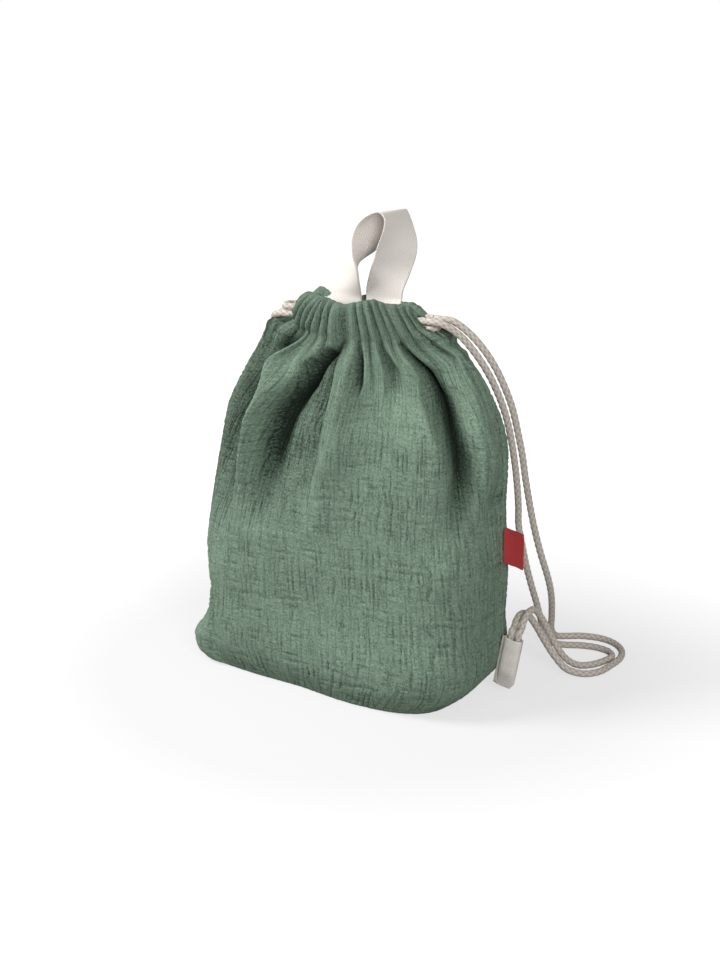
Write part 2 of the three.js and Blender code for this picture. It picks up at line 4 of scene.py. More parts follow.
import bmesh
import bpy
import numpy as np
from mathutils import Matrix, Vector


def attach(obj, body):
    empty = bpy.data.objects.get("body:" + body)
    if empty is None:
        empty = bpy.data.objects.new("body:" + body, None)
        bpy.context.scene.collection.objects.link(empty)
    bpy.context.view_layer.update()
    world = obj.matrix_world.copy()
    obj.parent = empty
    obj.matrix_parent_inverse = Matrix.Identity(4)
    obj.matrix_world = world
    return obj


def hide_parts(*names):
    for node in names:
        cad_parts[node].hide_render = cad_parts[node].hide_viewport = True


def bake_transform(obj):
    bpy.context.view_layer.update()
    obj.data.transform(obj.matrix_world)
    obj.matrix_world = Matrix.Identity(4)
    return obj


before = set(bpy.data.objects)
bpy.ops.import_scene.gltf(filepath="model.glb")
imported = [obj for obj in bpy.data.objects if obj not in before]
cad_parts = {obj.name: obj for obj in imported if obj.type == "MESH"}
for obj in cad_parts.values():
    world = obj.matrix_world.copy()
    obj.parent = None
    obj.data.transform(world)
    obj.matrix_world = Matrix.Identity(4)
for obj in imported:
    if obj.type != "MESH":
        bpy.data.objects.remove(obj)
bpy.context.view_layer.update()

# Sizes below are in millimetres, as on a maker's drawing, and meshes are scaled as they are made
MM = 0.001
STITCH_LINE = 272.7
CHANNEL_CENTRE = 285.0
UPPER_CORD = 287.95
LOWER_CORD = 282.05
CORD_DIAMETER = 5.6
MOUTH_HALF_WIDTH = 60.0
MOUTH_END_DEPTH = 6.5
CHANNEL_RIGHT_END = 61.0
CHANNEL_LEFT_END = -52.0
MOUTH_DEPTH = {"front": 24.0, "back": 15.0}
OUTWARDS = {"front": -1.0, "back": 1.0}

# The bag's section at eight heights: half width to right and left, depth to front and back, and squareness
HEIGHTS = np.array([0, 12, 70, 140, 205, 238.85, STITCH_LINE, 297])
SECTION = {
    "right": np.array([96, 111, 123, 122, 121, 109, 86, 64]),
    "left": np.array([106, 112, 119, 127, 120, 102, 79, 64]),
    "front": np.array([61, 67, 68, 63, 53, 42, 30, 28]),
    "back": np.array([44, 50, 52, 50, 44, 35, 20, 20]),
    "front_square": np.array([4.5, 4.8, 4.5, 3, 2.3, 2.1, 2, 2]),
    "back_square": np.array([2.6, 2.6, 2.4, 2.2, 2, 2, 2, 2]),
}

# Folds run down from the gathered mouth. Each point gives the height, the place across the cloth from
# the right seam (0) to the left seam (1), how far it spreads to each of them, and how far it stands out.
FRONT_FOLDS = {
    "left_ridge": [
        (270, .79, .03, .014, 5), (256, .80, .032, .014, 13), (230, .76, .034, .014, 16),
        (198, .738, .036, .016, 15), (162, .732, .045, .022, 10), (120, .74, .06, .045, 4),
        (78, .75, .07, .06, 0),
    ],
    "left_side_hollow": [
        (270, .85, .02, .04, -7), (254, .86, .022, .06, -18), (226, .82, .024, .09, -22),
        (192, .785, .026, .11, -19), (152, .78, .032, .11, -10), (112, .79, .045, .08, -2),
        (80, .8, .05, .05, 0),
    ],
    "left_band": [
        (262, .97, .05, .04, 0), (240, .95, .06, .05, -6), (200, .93, .06, .06, -7),
        (150, .93, .06, .06, -3), (110, .93, .06, .06, 0),
    ],
    "deep_valley": [
        (272, .555, .02, .025, -8), (262, .585, .035, .035, -22), (248, .64, .055, .042, -32),
        (226, .67, .065, .04, -36), (196, .67, .065, .04, -29), (164, .66, .07, .05, -14),
        (122, .65, .08, .08, 0),
    ],
    "valley_floor": [
        (268, .535, .012, .03, -6), (250, .535, .014, .05, -12), (222, .535, .016, .06, -11),
        (192, .53, .018, .06, -9), (165, .535, .025, .06, -5), (130, .54, .04, .06, 0),
    ],
    "centre_left_edge": [
        (270, .46, .02, .014, 4), (256, .472, .035, .015, 9), (232, .473, .045, .015, 13),
        (196, .466, .055, .018, 12), (165, .48, .06, .03, 6), (120, .49, .06, .05, 0),
    ],
    "pocket": [
        (270, .425, .008, .01, -4), (258, .425, .011, .014, -13), (242, .425, .011, .016, -15),
        (232, .425, .008, .01, 0),
    ],
    "pocket_fold": [(268, .39, .012, .012, 3), (252, .388, .014, .014, 4), (236, .386, .02, .02, 0)],
    "centre_hollow": [
        (268, .315, .014, .016, -5), (254, .30, .02, .024, -9), (240, .29, .026, .028, -6),
        (222, .285, .03, .03, 0),
    ],
    "centre_right_edge": [
        (270, .235, .009, .03, 3), (258, .225, .012, .045, 8), (238, .235, .014, .05, 11),
        (212, .215, .018, .06, 11), (186, .195, .022, .07, 8), (160, .185, .03, .06, 3.5),
        (128, .18, .05, .06, 0),
    ],
    "right_valley": [
        (270, .20, .016, .016, -9), (252, .182, .036, .022, -22), (234, .17, .046, .026, -29),
        (210, .152, .05, .03, -29), (185, .138, .048, .034, -22), (150, .142, .046, .042, -9),
        (114, .155, .05, .05, 0),
    ],
    "right_strip": [
        (268, .17, .008, .008, 2), (254, .158, .008, .008, 4), (238, .15, .009, .009, 3.5),
        (222, .145, .01, .01, 0),
    ],
    "right_ridge": [
        (262, .045, .02, .02, 4), (242, .06, .03, .022, 7), (215, .075, .034, .024, 9),
        (190, .07, .034, .028, 9), (165, .095, .04, .036, 8), (140, .135, .045, .045, 5),
        (118, .175, .05, .05, 3), (92, .2, .06, .06, 0),
    ],
    "shoulder_crease": [
        (258, .03, .006, .007, -2), (230, .034, .006, .007, -2.5), (192, .04, .006, .007, 0),
    ],
    "right_waist": [(186, 0, .05, .05, 0), (160, 0, .05, .06, -5), (142, 0, .05, .05, 0)],
    "left_corner": [
        (46, .875, .05, .05, 0), (34, .872, .05, .05, 5), (22, .87, .055, .055, 14),
        (9, .865, .06, .06, 17), (0, .86, .06, .06, 13),
    ],
    "left_corner_crease": [
        (72, .835, .01, .012, 0), (58, .815, .012, .014, -3), (30, .805, .013, .014, -4.5),
        (8, .805, .014, .014, -3), (0, .8, .01, .01, 0),
    ],
    "left_corner_waist": [
        (96, .9, .07, .08, 0), (68, .91, .07, .09, -8), (46, .91, .06, .08, -8), (28, .9, .05, .06, 0),
    ],
}
BACK_FOLDS = {
    "right_ridge": [
        (262, .10, .02, .03, 3), (235, .13, .04, .04, 7), (200, .15, .05, .05, 7),
        (140, .17, .06, .06, 0),
    ],
    "right_valley": [
        (266, .22, .02, .02, -4), (240, .25, .03, .03, -11), (205, .27, .04, .05, -11),
        (150, .29, .06, .06, 0),
    ],
    "centre_ridge": [
        (266, .36, .02, .02, 3), (240, .39, .03, .04, 8), (205, .41, .05, .05, 7),
        (150, .42, .06, .06, 0),
    ],
    "centre_valley": [
        (268, .50, .02, .02, -5), (240, .53, .03, .03, -12), (200, .54, .05, .05, -11),
        (140, .55, .06, .06, 0),
    ],
    "left_ridge": [
        (266, .64, .02, .03, 3), (236, .67, .04, .04, 8), (196, .69, .05, .05, 7),
        (130, .70, .06, .06, 0),
    ],
    "left_valley": [
        (264, .79, .02, .02, -4), (238, .80, .03, .03, -10), (200, .81, .04, .04, -9),
        (150, .81, .06, .06, 0),
    ],
    "left_side_ridge": [
        (258, .91, .03, .02, 3), (230, .91, .04, .03, 6), (190, .90, .05, .04, 5), (140, .9, .06, .05, 0),
    ],
}
FOLDS = {"front": FRONT_FOLDS, "back": BACK_FOLDS}

# The deep folds also draw cloth in from both sides: height, place across, spread and the share drawn in
FRONT_TUCKS = {
    "deep_valley": [
        (272, .545, .07, .2), (258, .60, .08, .45), (240, .665, .08, .55), (215, .70, .08, .6),
        (185, .70, .08, .5), (150, .69, .1, .25), (118, .68, .12, 0),
    ],
    "right_valley": [
        (272, .2, .05, .2), (250, .187, .06, .5), (234, .18, .07, .55), (210, .162, .07, .55),
        (185, .146, .07, .45), (155, .146, .08, .2), (122, .15, .08, 0),
    ],
    "left_side_hollow": [
        (270, .85, .04, .2), (254, .86, .05, .4), (226, .82, .05, .45), (192, .785, .05, .4),
        (152, .78, .06, .2), (116, .79, .06, 0),
    ],
}
BACK_TUCKS = {
    "centre_valley": [(272, .5, .06, .2), (240, .53, .09, .45), (200, .54, .1, .4), (145, .55, .1, 0)],
}
TUCKS = {"front": FRONT_TUCKS, "back": BACK_TUCKS}
FLAT_WIDTH = {"front": 341.0, "back": 287.0}
CLOTH_FOOT = 0.3
CHANNEL_GIRTH = 66.0
CHANNEL_SWELL = 6.4
CHANNEL_HALF_HEIGHT = 12.4
# The cloth's way round the channel in degrees: from under its outside, over the rim to its inside
RING_START = -62
RING_SWEEP = 310
CHANNEL_FLARE = ([-60, -20, 20, 60], [0.04, 0.2, 0.24, 0.24])
# How far the pleats lean on their way up the channel, as a share of its length, by the place across
PLEAT_LEAN = ([0, .3, .5, .65, .76, .9, 1], [-.03, -.03, 0, .02, .08, .09, .04])
LEFT_LOBE = ([.7, .8, .92, 1], [0, 2.4, 2.4, 0.5])
RIGHT_END_DROOP = 8.0
# How tightly the stitching draws the cloth in under the channel: 0 where the pleats run straight on
STITCH_PULL = ([0, .06, .14, .3, .45, .52, .6, .72, .82, 1], [1, .6, .1, .05, .1, .8, .9, .4, 1, 1])
SAG_PLACE = 0.565
SAG_WIDTH = 0.035
SAG_DEPTH = 7.0
LEFT_SHOULDER_LIFT = 8.0
# How far the rim stands above or below its level line, by the share of its length from the right end
RIM_LOBES = {
    "front": ([0, .08, .2, .32, .42, .55, .68, .82, .92, 1], [-3, 1, 2, 5, 3, 0, 2, 4, 4, -2]),
    "back": ([0, .15, .4, .6, .8, .92, 1], [-4, 0, 1, 0, 2, 5, -2]),
}
PLEATS = {"front": 15, "back": 16}

# The front right corner of the base stands forward, and spreads further round the front than to the seam
CORNER_BULGE = 12.5
CORNER_ANGLE = math.radians(46)
CORNER_REACH_TO_SEAM = 0.42
CORNER_REACH_TO_FRONT = 0.8
CORNER_HEIGHT = 95.0
# Above this height the walls draw in to the mouth
GATHER_START = 205.0

# Puckers of the gauze: the spacing of creases up and across the cloth, and how far they stand out
CREASE_PITCH = 5.0
FINE_CREASE_PITCH = 2.9
CROSS_CREASE_PITCH = 5.2
PUCKER_HEIGHT = 2.4
# Middle values of a pucker and of a gather, from which they stand out or in
PUCKER_LEVEL = 0.75
RIDGE_LEVEL = 0.66

# Braid of the cords: spacing of the modelled rings, points in a ring, length of a plait and its depth
BRAID_STEP = 0.75
BRAID_SIDES = 20
BRAID_PITCH = 5.6
BRAID_RELIEF = 0.42

GRAIN = np.random.default_rng(11).uniform(-1, 1, (97, 97))


def ease(t):
    t = np.clip(t, 0, 1)
    return t * t * (3 - 2 * t)


def arches(t):
    """Even arches, one to a unit: 0 at whole numbers and 1 halfway between them."""
    return np.abs(np.sin(np.pi * t))


def joined(*parts):
    return np.stack(parts, axis=-1)


def length_along(points):
    """The length along a line of points, from 0 at the first."""
    steps = np.linalg.norm(np.diff(points, axis=0), axis=1)
    return np.concatenate([[0], np.cumsum(steps)])


def drift(x, y, seed):
    """An irregular smooth wander between -1 and 1, about one swing to a unit."""
    x = np.asarray(x, float) + 17.3 * seed
    y = np.asarray(y, float) + 9.1 * seed
    column = np.floor(x).astype(int)
    row = np.floor(y).astype(int)
    across = ease(x - column)
    up = ease(y - row)

    def knot(i, j):
        return GRAIN[(column + i) % 97, (row + j) % 97]

    low = knot(0, 0) * (1 - across) + knot(1, 0) * across
    high = knot(0, 1) * (1 - across) + knot(1, 1) * across
    return low * (1 - up) + high * up


def section(key, z):
    """One measure of the bag's section, on a smooth curve through the heights."""
    value = SECTION[key].astype(float)
    slope = np.gradient(value, HEIGHTS)
    z = np.clip(z, 0, HEIGHTS[-1])
    low = np.clip(np.searchsorted(HEIGHTS, z, side="right") - 1, 0, len(value) - 2)
    span = HEIGHTS[low + 1] - HEIGHTS[low]
    t = (z - HEIGHTS[low]) / span
    rise = t * t * (3 - 2 * t)
    bends = t * (1 - t) ** 2 * span * slope[low] + t * t * (t - 1) * span * slope[low + 1]
    return value[low] + rise * (value[low + 1] - value[low]) + bends


def wall(side, angle, z):
    """The smooth wall, by the angle from the right seam (0) to the left seam (pi)."""
    across = np.cos(angle)
    width = np.where(across > 0, section("right", z), section("left", z))
    depth = section(side, z)
    square = section(side + "_square", z)
    out = np.abs(np.sin(angle))
    radius = (np.abs(across / width) ** square + (out / depth) ** square) ** (-1 / square)
    pinched = depth * np.clip((1 + np.cos(np.pi * across)) / 2, 0, 1) ** 0.6
    gather = ease((z - GATHER_START) / (STITCH_LINE - GATHER_START))
    x = radius * across + gather * (width - radius) * across
    y = radius * out + gather * (pinched - radius * out)
    if side == "front":
        reach = np.where(angle < CORNER_ANGLE, CORNER_REACH_TO_SEAM, CORNER_REACH_TO_FRONT)
        spread = np.exp(-((angle - CORNER_ANGLE) / reach) ** 2)
        bulge = CORNER_BULGE * spread * ease(1 - z / CORNER_HEIGHT)
        x = x + bulge * np.cos(angle)
        y = y + bulge * out
    return x, OUTWARDS[side] * y


def along_wall(side, share, z):
    """Points at even shares of the wall's length at each height, as threads of the cloth lie."""
    angles = np.linspace(0, np.pi, 721)
    x = np.empty_like(share)
    y = np.empty_like(share)
    for row in range(share.shape[0]):
        wall_x, wall_y = wall(side, angles, np.full(angles.shape, z[row, 0]))
        run = length_along(joined(wall_x, wall_y))
        x[row] = np.interp(share[row] * run[-1], run, wall_x)
        y[row] = np.interp(share[row] * run[-1], run, wall_y)
    return x, y


def mouth_line(side, x):
    """The middle line of the drawstring channel seen from above, and its outward direction."""
    swell = MOUTH_DEPTH[side] - MOUTH_END_DEPTH
    turn = np.pi * x / MOUTH_HALF_WIDTH
    y = MOUTH_END_DEPTH + swell * (1 + np.cos(turn)) / 2
    steepness = -swell * np.sin(turn) * np.pi / MOUTH_HALF_WIDTH / 2
    length = np.hypot(steepness, 1)
    return OUTWARDS[side] * y, -steepness / length, OUTWARDS[side] / length


def along_mouth(side, share):
    x = np.linspace(CHANNEL_RIGHT_END, CHANNEL_LEFT_END, 481)
    run = length_along(joined(x, mouth_line(side, x)[0]))
    return np.interp(share * run[-1], run, x)


def at_height(points, z):
    """What a fold's table says at each height, column by column."""
    table = np.array(sorted(points))
    return [np.interp(z, table[:, 0], column) for column in table.T[1:]]


def fold_heights(side, share, z):
    """How far the big folds stand out from the smooth wall."""
    total = np.zeros_like(share)
    for points in FOLDS[side].values():
        place, to_right, to_left, height = at_height(points, z)
        height = np.where((z < min(points)[0]) | (z > STITCH_LINE + 1), 0, height)
        off = share - place
        total += height * np.exp(-(off / np.where(off < 0, to_right, to_left)) ** 2)
    return total


def tucked(side, share, z):
    """Where each thread lies across the wall once the deep folds have drawn it in."""
    moved = share.copy()
    for points in TUCKS[side].values():
        place, spread, drawn = at_height(points, z)
        off = share - place
        moved -= drawn * off * np.exp(-(off / spread) ** 2)
    return np.clip(moved, 0, 1)


def gather_lines(side, share):
    """Ridges and narrow creases of the gathers: 1 on a ridge, 0 in a crease."""
    pleats = PLEATS[side] * share
    seed = 3 if side == "front" else 8
    phase = pleats + 0.6 * drift(pleats / 2.3, 0.5, seed) + 0.3 * drift(pleats, 4.5, seed)
    return arches(phase) ** 0.75


def crease_lines(turns, sharpness, depth):
    """Creases of the given depth, up to 1, one to a unit, and 0 halfway between them."""
    return (1 - arches(turns)) ** sharpness * np.clip(depth, 0, 1)


def crinkle(side, x, z):
    """The puckers of double gauze: short wavy creases up the cloth and fainter ones across it, 0 to 1."""
    seed = 0 if side == "front" else 21
    warp = x / CREASE_PITCH + 0.7 * drift(x / 6.5, 0.5, seed) + 0.45 * drift(x / 20, z / 16, seed + 1)
    upright = crease_lines(warp, 2.5, 0.45 + 0.8 * drift(np.floor(warp) * 1.7, z / 11, seed + 2))
    fine_warp = x / FINE_CREASE_PITCH + 0.6 * drift(x / 4, 2.5, seed + 8)
    fine_warp = fine_warp + 0.2 * drift(x / 18, z / 20, seed + 9)
    fine = crease_lines(fine_warp, 2, 0.3 + 0.8 * drift(np.floor(fine_warp) * 1.7, z / 7, seed + 10))
    weft = z / CROSS_CREASE_PITCH + 0.7 * drift(0.5, z / 6, seed + 3)
    weft = weft + 0.35 * drift(x / 18, z / 22, seed + 4)
    level = crease_lines(weft, 2.5, 0.45 + 0.7 * drift(x / 9, np.floor(weft) * 1.7, seed + 5))
    grain = 0.12 * drift(x / 1.6, z / 2.4, seed + 6)
    strength = 0.85 + 0.15 * drift(x / 34, z / 30, seed + 7)
    # The creases shape the puckers and, through hollow_shade, also give painted shade
    crease_shade = np.maximum(np.maximum(upright, 0.5 * fine), 0.8 * level)
    return np.clip(1 - strength * crease_shade + grain, 0, 1.1)


def folded_wall(side, share, climb, folds, ridges, pucker, inset):
    """The cloth in plan up to the stitch line: the wall with its folds, gathers, seams and puckers."""
    z = np.minimum(climb, STITCH_LINE)
    below = np.maximum(STITCH_LINE - climb, 0)
    x, y = along_wall(side, tucked(side, share, z), z)
    along_x = np.gradient(x, axis=1)
    along_y = np.gradient(y, axis=1)
    length = np.maximum(np.hypot(along_x, along_y), 1e-9)
    turn = 1.0 if side == "front" else -1.0
    normal_x = -turn * along_y / length
    normal_y = turn * along_x / length
    pleats = PLEATS[side] * share
    reach = 17 + 9 * drift(pleats, 1.5, 6)
    depth = 3.8 + 1.4 * drift(pleats / 1.3, 2.5, 9)
    pleat = (ridges - RIDGE_LEVEL) * depth * np.exp(-(below / reach) ** 1.3)
    wide = np.sin(2 * np.pi * (9 * share + 0.4 * drift(9 * share, 0.5, 12)))
    medium = 1.5 * wide * np.exp(-((below - 10) / 26) ** 2)
    slow = 1.6 * drift(share * 7, z / 45, 14) * ease(z / 40) * ease(below / 30)
    from_seam = np.minimum(share, 1 - share) * FLAT_WIDTH[side]
    seam = -1.3 * np.exp(-(from_seam / 1.6) ** 2) - 0.5 * np.exp(-((from_seam - 7) / 0.8) ** 2)
    seam += 0.35 * np.sin(z * 1.05 + 2 * drift(z / 9, 0.5, 15)) * np.exp(-from_seam / 5)
    fullness = np.clip(0.35 + 0.65 * ease(below / 70), 0, 1)
    out = (folds + pleat + medium + slow) * ease(from_seam / 12) + seam - inset
    out += PUCKER_HEIGHT * fullness * (pucker - PUCKER_LEVEL)
    foot = ease((z + 3) / 6)
    return x + normal_x * out * foot, y + normal_y * out * foot


def channel_ring(side, share, around, up_ring, ridges, pucker, inset):
    """The cloth past the stitch line: out round the channel, over the rim and down its inside."""
    outside = np.cos(around)
    mouth_x = along_mouth(side, share)
    mouth_y, out_x, out_y = mouth_line(side, mouth_x)
    mouth_x = mouth_x * (1 + np.interp(mouth_x, *CHANNEL_FLARE) * (0.5 - up_ring))
    mouth_x += RIGHT_END_DROOP * ease((0.12 - share) / 0.12) * np.clip(1 - up_ring / 0.5, 0, 1)
    end = ease(np.minimum(share, 1 - share) / 0.06)
    padding = (0.5 + 0.5 * end) * np.where(outside > 0, 1, 0.86)
    puff = (ridges - RIDGE_LEVEL) * (4.2 + 2.0 * drift(PLEATS[side] * share, 3.5, 10))
    puff = puff * np.where(outside > 0, 1, 0.45)
    puff *= 0.45 + 0.55 * np.abs(outside)
    swell = CHANNEL_SWELL * padding + 0.8 * drift(share * 6, 0.5, 17) + puff
    swell = swell + 0.6 * (pucker - PUCKER_LEVEL) - inset
    pull = np.ones_like(share)
    if side == "front":
        swell = swell + np.interp(share, *LEFT_LOBE) * np.clip(outside, 0, 1)
        pull = np.interp(share, *STITCH_PULL)
    roundness = np.where(around < 0, 0.15 + 0.6 * pull, 0.75)
    depth = swell * np.sign(outside) * np.abs(outside) ** roundness
    tall = CHANNEL_HALF_HEIGHT + 0.5 * puff + 0.9 * drift(share * 9, 0.5, 16) - inset
    rise = tall * np.sign(np.sin(around)) * np.abs(np.sin(around)) ** 0.8 * (0.8 + 0.2 * end)
    rise = rise + np.interp(share, *RIM_LOBES[side]) * up_ring
    return mouth_x + out_x * depth, mouth_y + out_y * depth, CHANNEL_CENTRE + rise


def hollow_shade(side, share, climb, folds, ridges, pucker, around):
    """How much painted shade each place gets: in the creases of the gauze, in the gaps between gathers, in
    the deep folds and on the band beyond the left ridge.
    """
    on_wall = climb <= STITCH_LINE
    z = np.minimum(climb, STITCH_LINE)
    # Painted shade in the deep folds, darker as they lie deeper
    sunk_shade = -folds / 27
    if side == "front":
        # More painted shade on the front's left band beyond the ridge
        shade_beyond_ridge = ease((share - 0.83) / 0.05) * ease((z - 110) / 60)
        sunk_shade = sunk_shade + 0.12 * shade_beyond_ridge
    sunk_shade = np.clip(sunk_shade, 0, 1) * on_wall
    # Painted shade in the gaps between gathers: near the mouth on the wall, and on the outside of the
    # channel
    near_mouth = np.exp(-((STITCH_LINE - z) / 22) ** 2)
    between = (1 - ridges) * np.where(on_wall, near_mouth, np.clip(np.cos(around), 0, 1))
    # Painted shade in the creases of the puckers, a little more towards the bottom
    shade_in_crease = 0.5 + 0.2 * ease(1 - z / 160)
    return shade_in_crease * (1 - pucker) + 0.5 * between + 1.1 * sunk_shade


def cloth_shape(side, share, climb, inset=0.0, fine=True):
    """Places of the cloth in mm, and how much painted shade each gets, from 1 for none to 0 for the most.

    climb is the length up the cloth from the base seam: up the wall to the stitch line, then out round
    the drawstring channel, over the rim and down its inside.
    """
    round_share = np.clip((climb - STITCH_LINE) / CHANNEL_GIRTH, 0, 1)
    around = np.radians(RING_START + RING_SWEEP * round_share)
    up_ring = ease((np.sin(around) + 0.9) / 1.9)
    ridges = gather_lines(side, share + np.interp(share, *PLEAT_LEAN) * up_ring)
    pucker = np.full_like(share, PUCKER_LEVEL)
    if fine:
        pucker = crinkle(side, share * FLAT_WIDTH[side], climb)
    folds = fold_heights(side, share, climb)
    wall_x, wall_y = folded_wall(side, share, climb, folds, ridges, pucker, inset)
    ring_x, ring_y, ring_z = channel_ring(side, share, around, up_ring, ridges, pucker, inset)
    inward = ease(np.minimum(share, 1 - share) * FLAT_WIDTH[side] / 60)
    to_ring = ease((climb - (STITCH_LINE - 7 - 17 * inward)) / (13 + 17 * inward))
    height = np.where(climb > STITCH_LINE, ring_z, climb)
    height += LEFT_SHOULDER_LIFT * ease((share - 0.86) / 0.12) * np.exp(-((climb - 269) / 11) ** 2)
    if side == "front":
        sag = np.exp(-((share - SAG_PLACE) / SAG_WIDTH) ** 2) * np.exp(-((climb - STITCH_LINE) / 13) ** 2)
        height -= SAG_DEPTH * sag
    x = wall_x + to_ring * (ring_x - wall_x)
    y = wall_y + to_ring * (ring_y - wall_y)
    # Painted shade of the hollows, kept as a value from 1 for none to 0 for the most
    shade = hollow_shade(side, share, climb, folds, ridges, pucker, around)
    return joined(x, y, height), np.clip(1 - shade, 0, 1)


def add_object(name, data):
    item = bpy.data.objects.new(name, data)
    bpy.context.scene.collection.objects.link(item)
    return item


def aim_at(item, place, aim):
    item.location = place
    item.rotation_euler = (Vector(aim) - Vector(place)).to_track_quat("-Z", "Y").to_euler()


def dress(piece, material, slot, *nodes):
    """Gives a piece its finish, and puts it in place of the solids that it stands for."""
    piece.data.materials.append(material)
    if nodes:
        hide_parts(*nodes)


def grid_piece(name, columns, rows):
    """A flat grid of cloth, one unit each way, ready to be shaped."""
    sheet = bmesh.new()
    bmesh.ops.create_grid(sheet, x_segments=columns, y_segments=rows, size=0.5)
    mesh = bpy.data.meshes.new(name)
    sheet.to_mesh(mesh)
    sheet.free()
    piece = add_object(name, mesh)
    flat = np.empty(len(mesh.vertices) * 3, np.float32)
    mesh.vertices.foreach_get("co", flat)
    flat = flat.reshape(-1, 3).astype(float) + 0.5
    order = np.lexsort((np.round(flat[:, 0], 6), np.round(flat[:, 1], 6)))
    shape = (rows + 1, columns + 1)
    return piece, order.reshape(shape), flat[order, 0].reshape(shape), flat[order, 1].reshape(shape)


def set_shape(piece, order, place, uv, crease_shade=None):
    """Moves a grid's vertices to their places in mm, lays its UV map in metres, and keeps the painted
    shade it is given.
    """
    mesh = piece.data
    flat_order = order.reshape(-1)
    spots = np.empty((len(flat_order), 3))
    spots[flat_order] = place.reshape(-1, 3) * MM
    mesh.vertices.foreach_set("co", spots.astype(np.float32).reshape(-1))
    corners = np.empty(len(mesh.loops), np.int32)
    mesh.loops.foreach_get("vertex_index", corners)
    table = np.empty((len(flat_order), 2))
    table[flat_order] = uv.reshape(-1, 2) * MM
    layer = mesh.uv_layers.new(name="cloth")
    layer.data.foreach_set("uv", table[corners].astype(np.float32).reshape(-1))
    # This attribute is painted shade: 1 where the surface stands out, 0 where the material darkens it to
    # its shaded colour
    if crease_shade is not None:
        values = np.empty(len(flat_order), np.float32)
        values[flat_order] = crease_shade.reshape(-1)
        mesh.attributes.new("crease_shade", "FLOAT", "POINT").data.foreach_set("value", values)
    mesh.polygons.foreach_set("use_smooth", np.full(len(mesh.polygons), True))
    mesh.update()
    return piece


def weld_and_face_out(piece, distance=1e-6, close=False):
    """Joins the edges of a grid bent to a tube, fills its ends if asked, and turns its faces out."""
    solid = bmesh.new()
    solid.from_mesh(piece.data)
    bmesh.ops.remove_doubles(solid, verts=solid.verts, dist=distance)
    bmesh.ops.recalc_face_normals(solid, faces=solid.faces)
    if close:
        bmesh.ops.holes_fill(solid, edges=[edge for edge in solid.edges if edge.is_boundary])
        bmesh.ops.recalc_face_normals(solid, faces=solid.faces)
    solid.to_mesh(piece.data)
    solid.free()
    return piece


def smooth_route(points, spacing):
    """A curve through the points, the same as the cords of the CAD model follow, at even steps."""
    points = np.array(points, float)
    ends = np.vstack([2 * points[0] - points[1], points, 2 * points[-1] - points[-2]])
    dense = []
    for k in range(len(points) - 1):
        before, start, stop, after = ends[k:k + 4]
        steps = (start - before, stop - start, after - stop)
        first, middle, last = (max(np.linalg.norm(step) ** 0.5, 1e-4) for step in steps)
        pace = steps[1] / middle
        leave = steps[0] / first - (stop - before) / (first + middle) + pace
        arrive = pace - (after - start) / (middle + last) + steps[2] / last
        t = np.linspace(0, 1, 40, endpoint=k == len(points) - 2)[:, None]
        dense.append((2 * t ** 3 - 3 * t ** 2 + 1) * start + (t ** 3 - 2 * t ** 2 + t) * (leave * middle)
                     + (3 * t ** 2 - 2 * t ** 3) * stop + (t ** 3 - t ** 2) * (arrive * middle))
    dense = np.vstack(dense)
    run = length_along(dense)
    steps = max(int(round(run[-1] / spacing)), 2)
    at = np.linspace(0, run[-1], steps + 1)
    return joined(*[np.interp(at, run, dense[:, k]) for k in range(3)]), run[-1]


def route_frames(route):
    """Two directions square to a route that turn as little as they can along it."""
    along = np.gradient(route, axis=0)
    along /= np.linalg.norm(along, axis=1)[:, None]
    first = np.empty_like(route)
    guess = np.array([0.0, 0.0, 1.0]) if abs(along[0, 2]) < 0.9 else np.array([1.0, 0.0, 0.0])
    for k, direction in enumerate(along):
        guess = guess - direction * np.dot(guess, direction)
        guess = guess / np.linalg.norm(guess)
        first[k] = guess
    return first, np.cross(along, first)


def braided_cord(name, points):
    """A tube along a route with the crossing strands of a round braid standing out on it."""
    route, length = smooth_route(points, BRAID_STEP)
    piece, order, across, up = grid_piece(name, BRAID_SIDES, len(route) - 1)
    first, second = route_frames(route)
    angle = 2 * np.pi * across
    run = up * length
    plait = 4 * angle
    climb = 2 * np.pi * run / BRAID_PITCH
    one = np.cos((plait + climb) / 2)
    other = np.cos((plait - climb) / 2)
    strands = np.maximum(np.abs(one), np.abs(other)) * 0.6 + 0.4 * np.abs(one * other)
    radius = CORD_DIAMETER / 2 - BRAID_RELIEF + BRAID_RELIEF * strands
    place = (route[:, None, :]
             + radius[..., None] * (np.cos(angle)[..., None] * first[:, None, :]
                                    + np.sin(angle)[..., None] * second[:, None, :]))
    uv = joined(across * np.pi * CORD_DIAMETER, run)
    # The braid's relief doubles as painted shade: the colour darkens between the strands
    set_shape(piece, order, place, uv, crease_shade=strands)
    return weld_and_face_out(piece), route, length


def on_side(points, way):
    """Points drawn for the right side, on the side that way gives: 1 right, -1 left."""
    return [(way * x, y, z) for x, y, z in points]


# Camera at the photograph's viewing angle
camera_data = bpy.data.cameras.new("camera")
camera_data.lens = 60
camera_data.sensor_width = 36
camera = add_object("camera", camera_data)
aim_at(camera, (0.5977, -1.0352, 0.5205), (0, 0, 0.155))
bpy.context.scene.camera = camera

# Routes of the cords, as in the CAD model
TAB_FOOT = 119.51
TAB_BOTTOM = 10.0
TAB_LENGTH = 42.0
TAB_LEAN = math.radians(10)
INNER_TAB_CORD = 5.8
OUTER_TAB_CORD = 11.7


def tab_point(up, out, thick=0.0):
    x = TAB_FOOT + up * math.sin(TAB_LEAN) + out * math.cos(TAB_LEAN)
    z = TAB_BOTTOM + up * math.cos(TAB_LEAN) - out * math.sin(TAB_LEAN)
    return (x, thick, z)


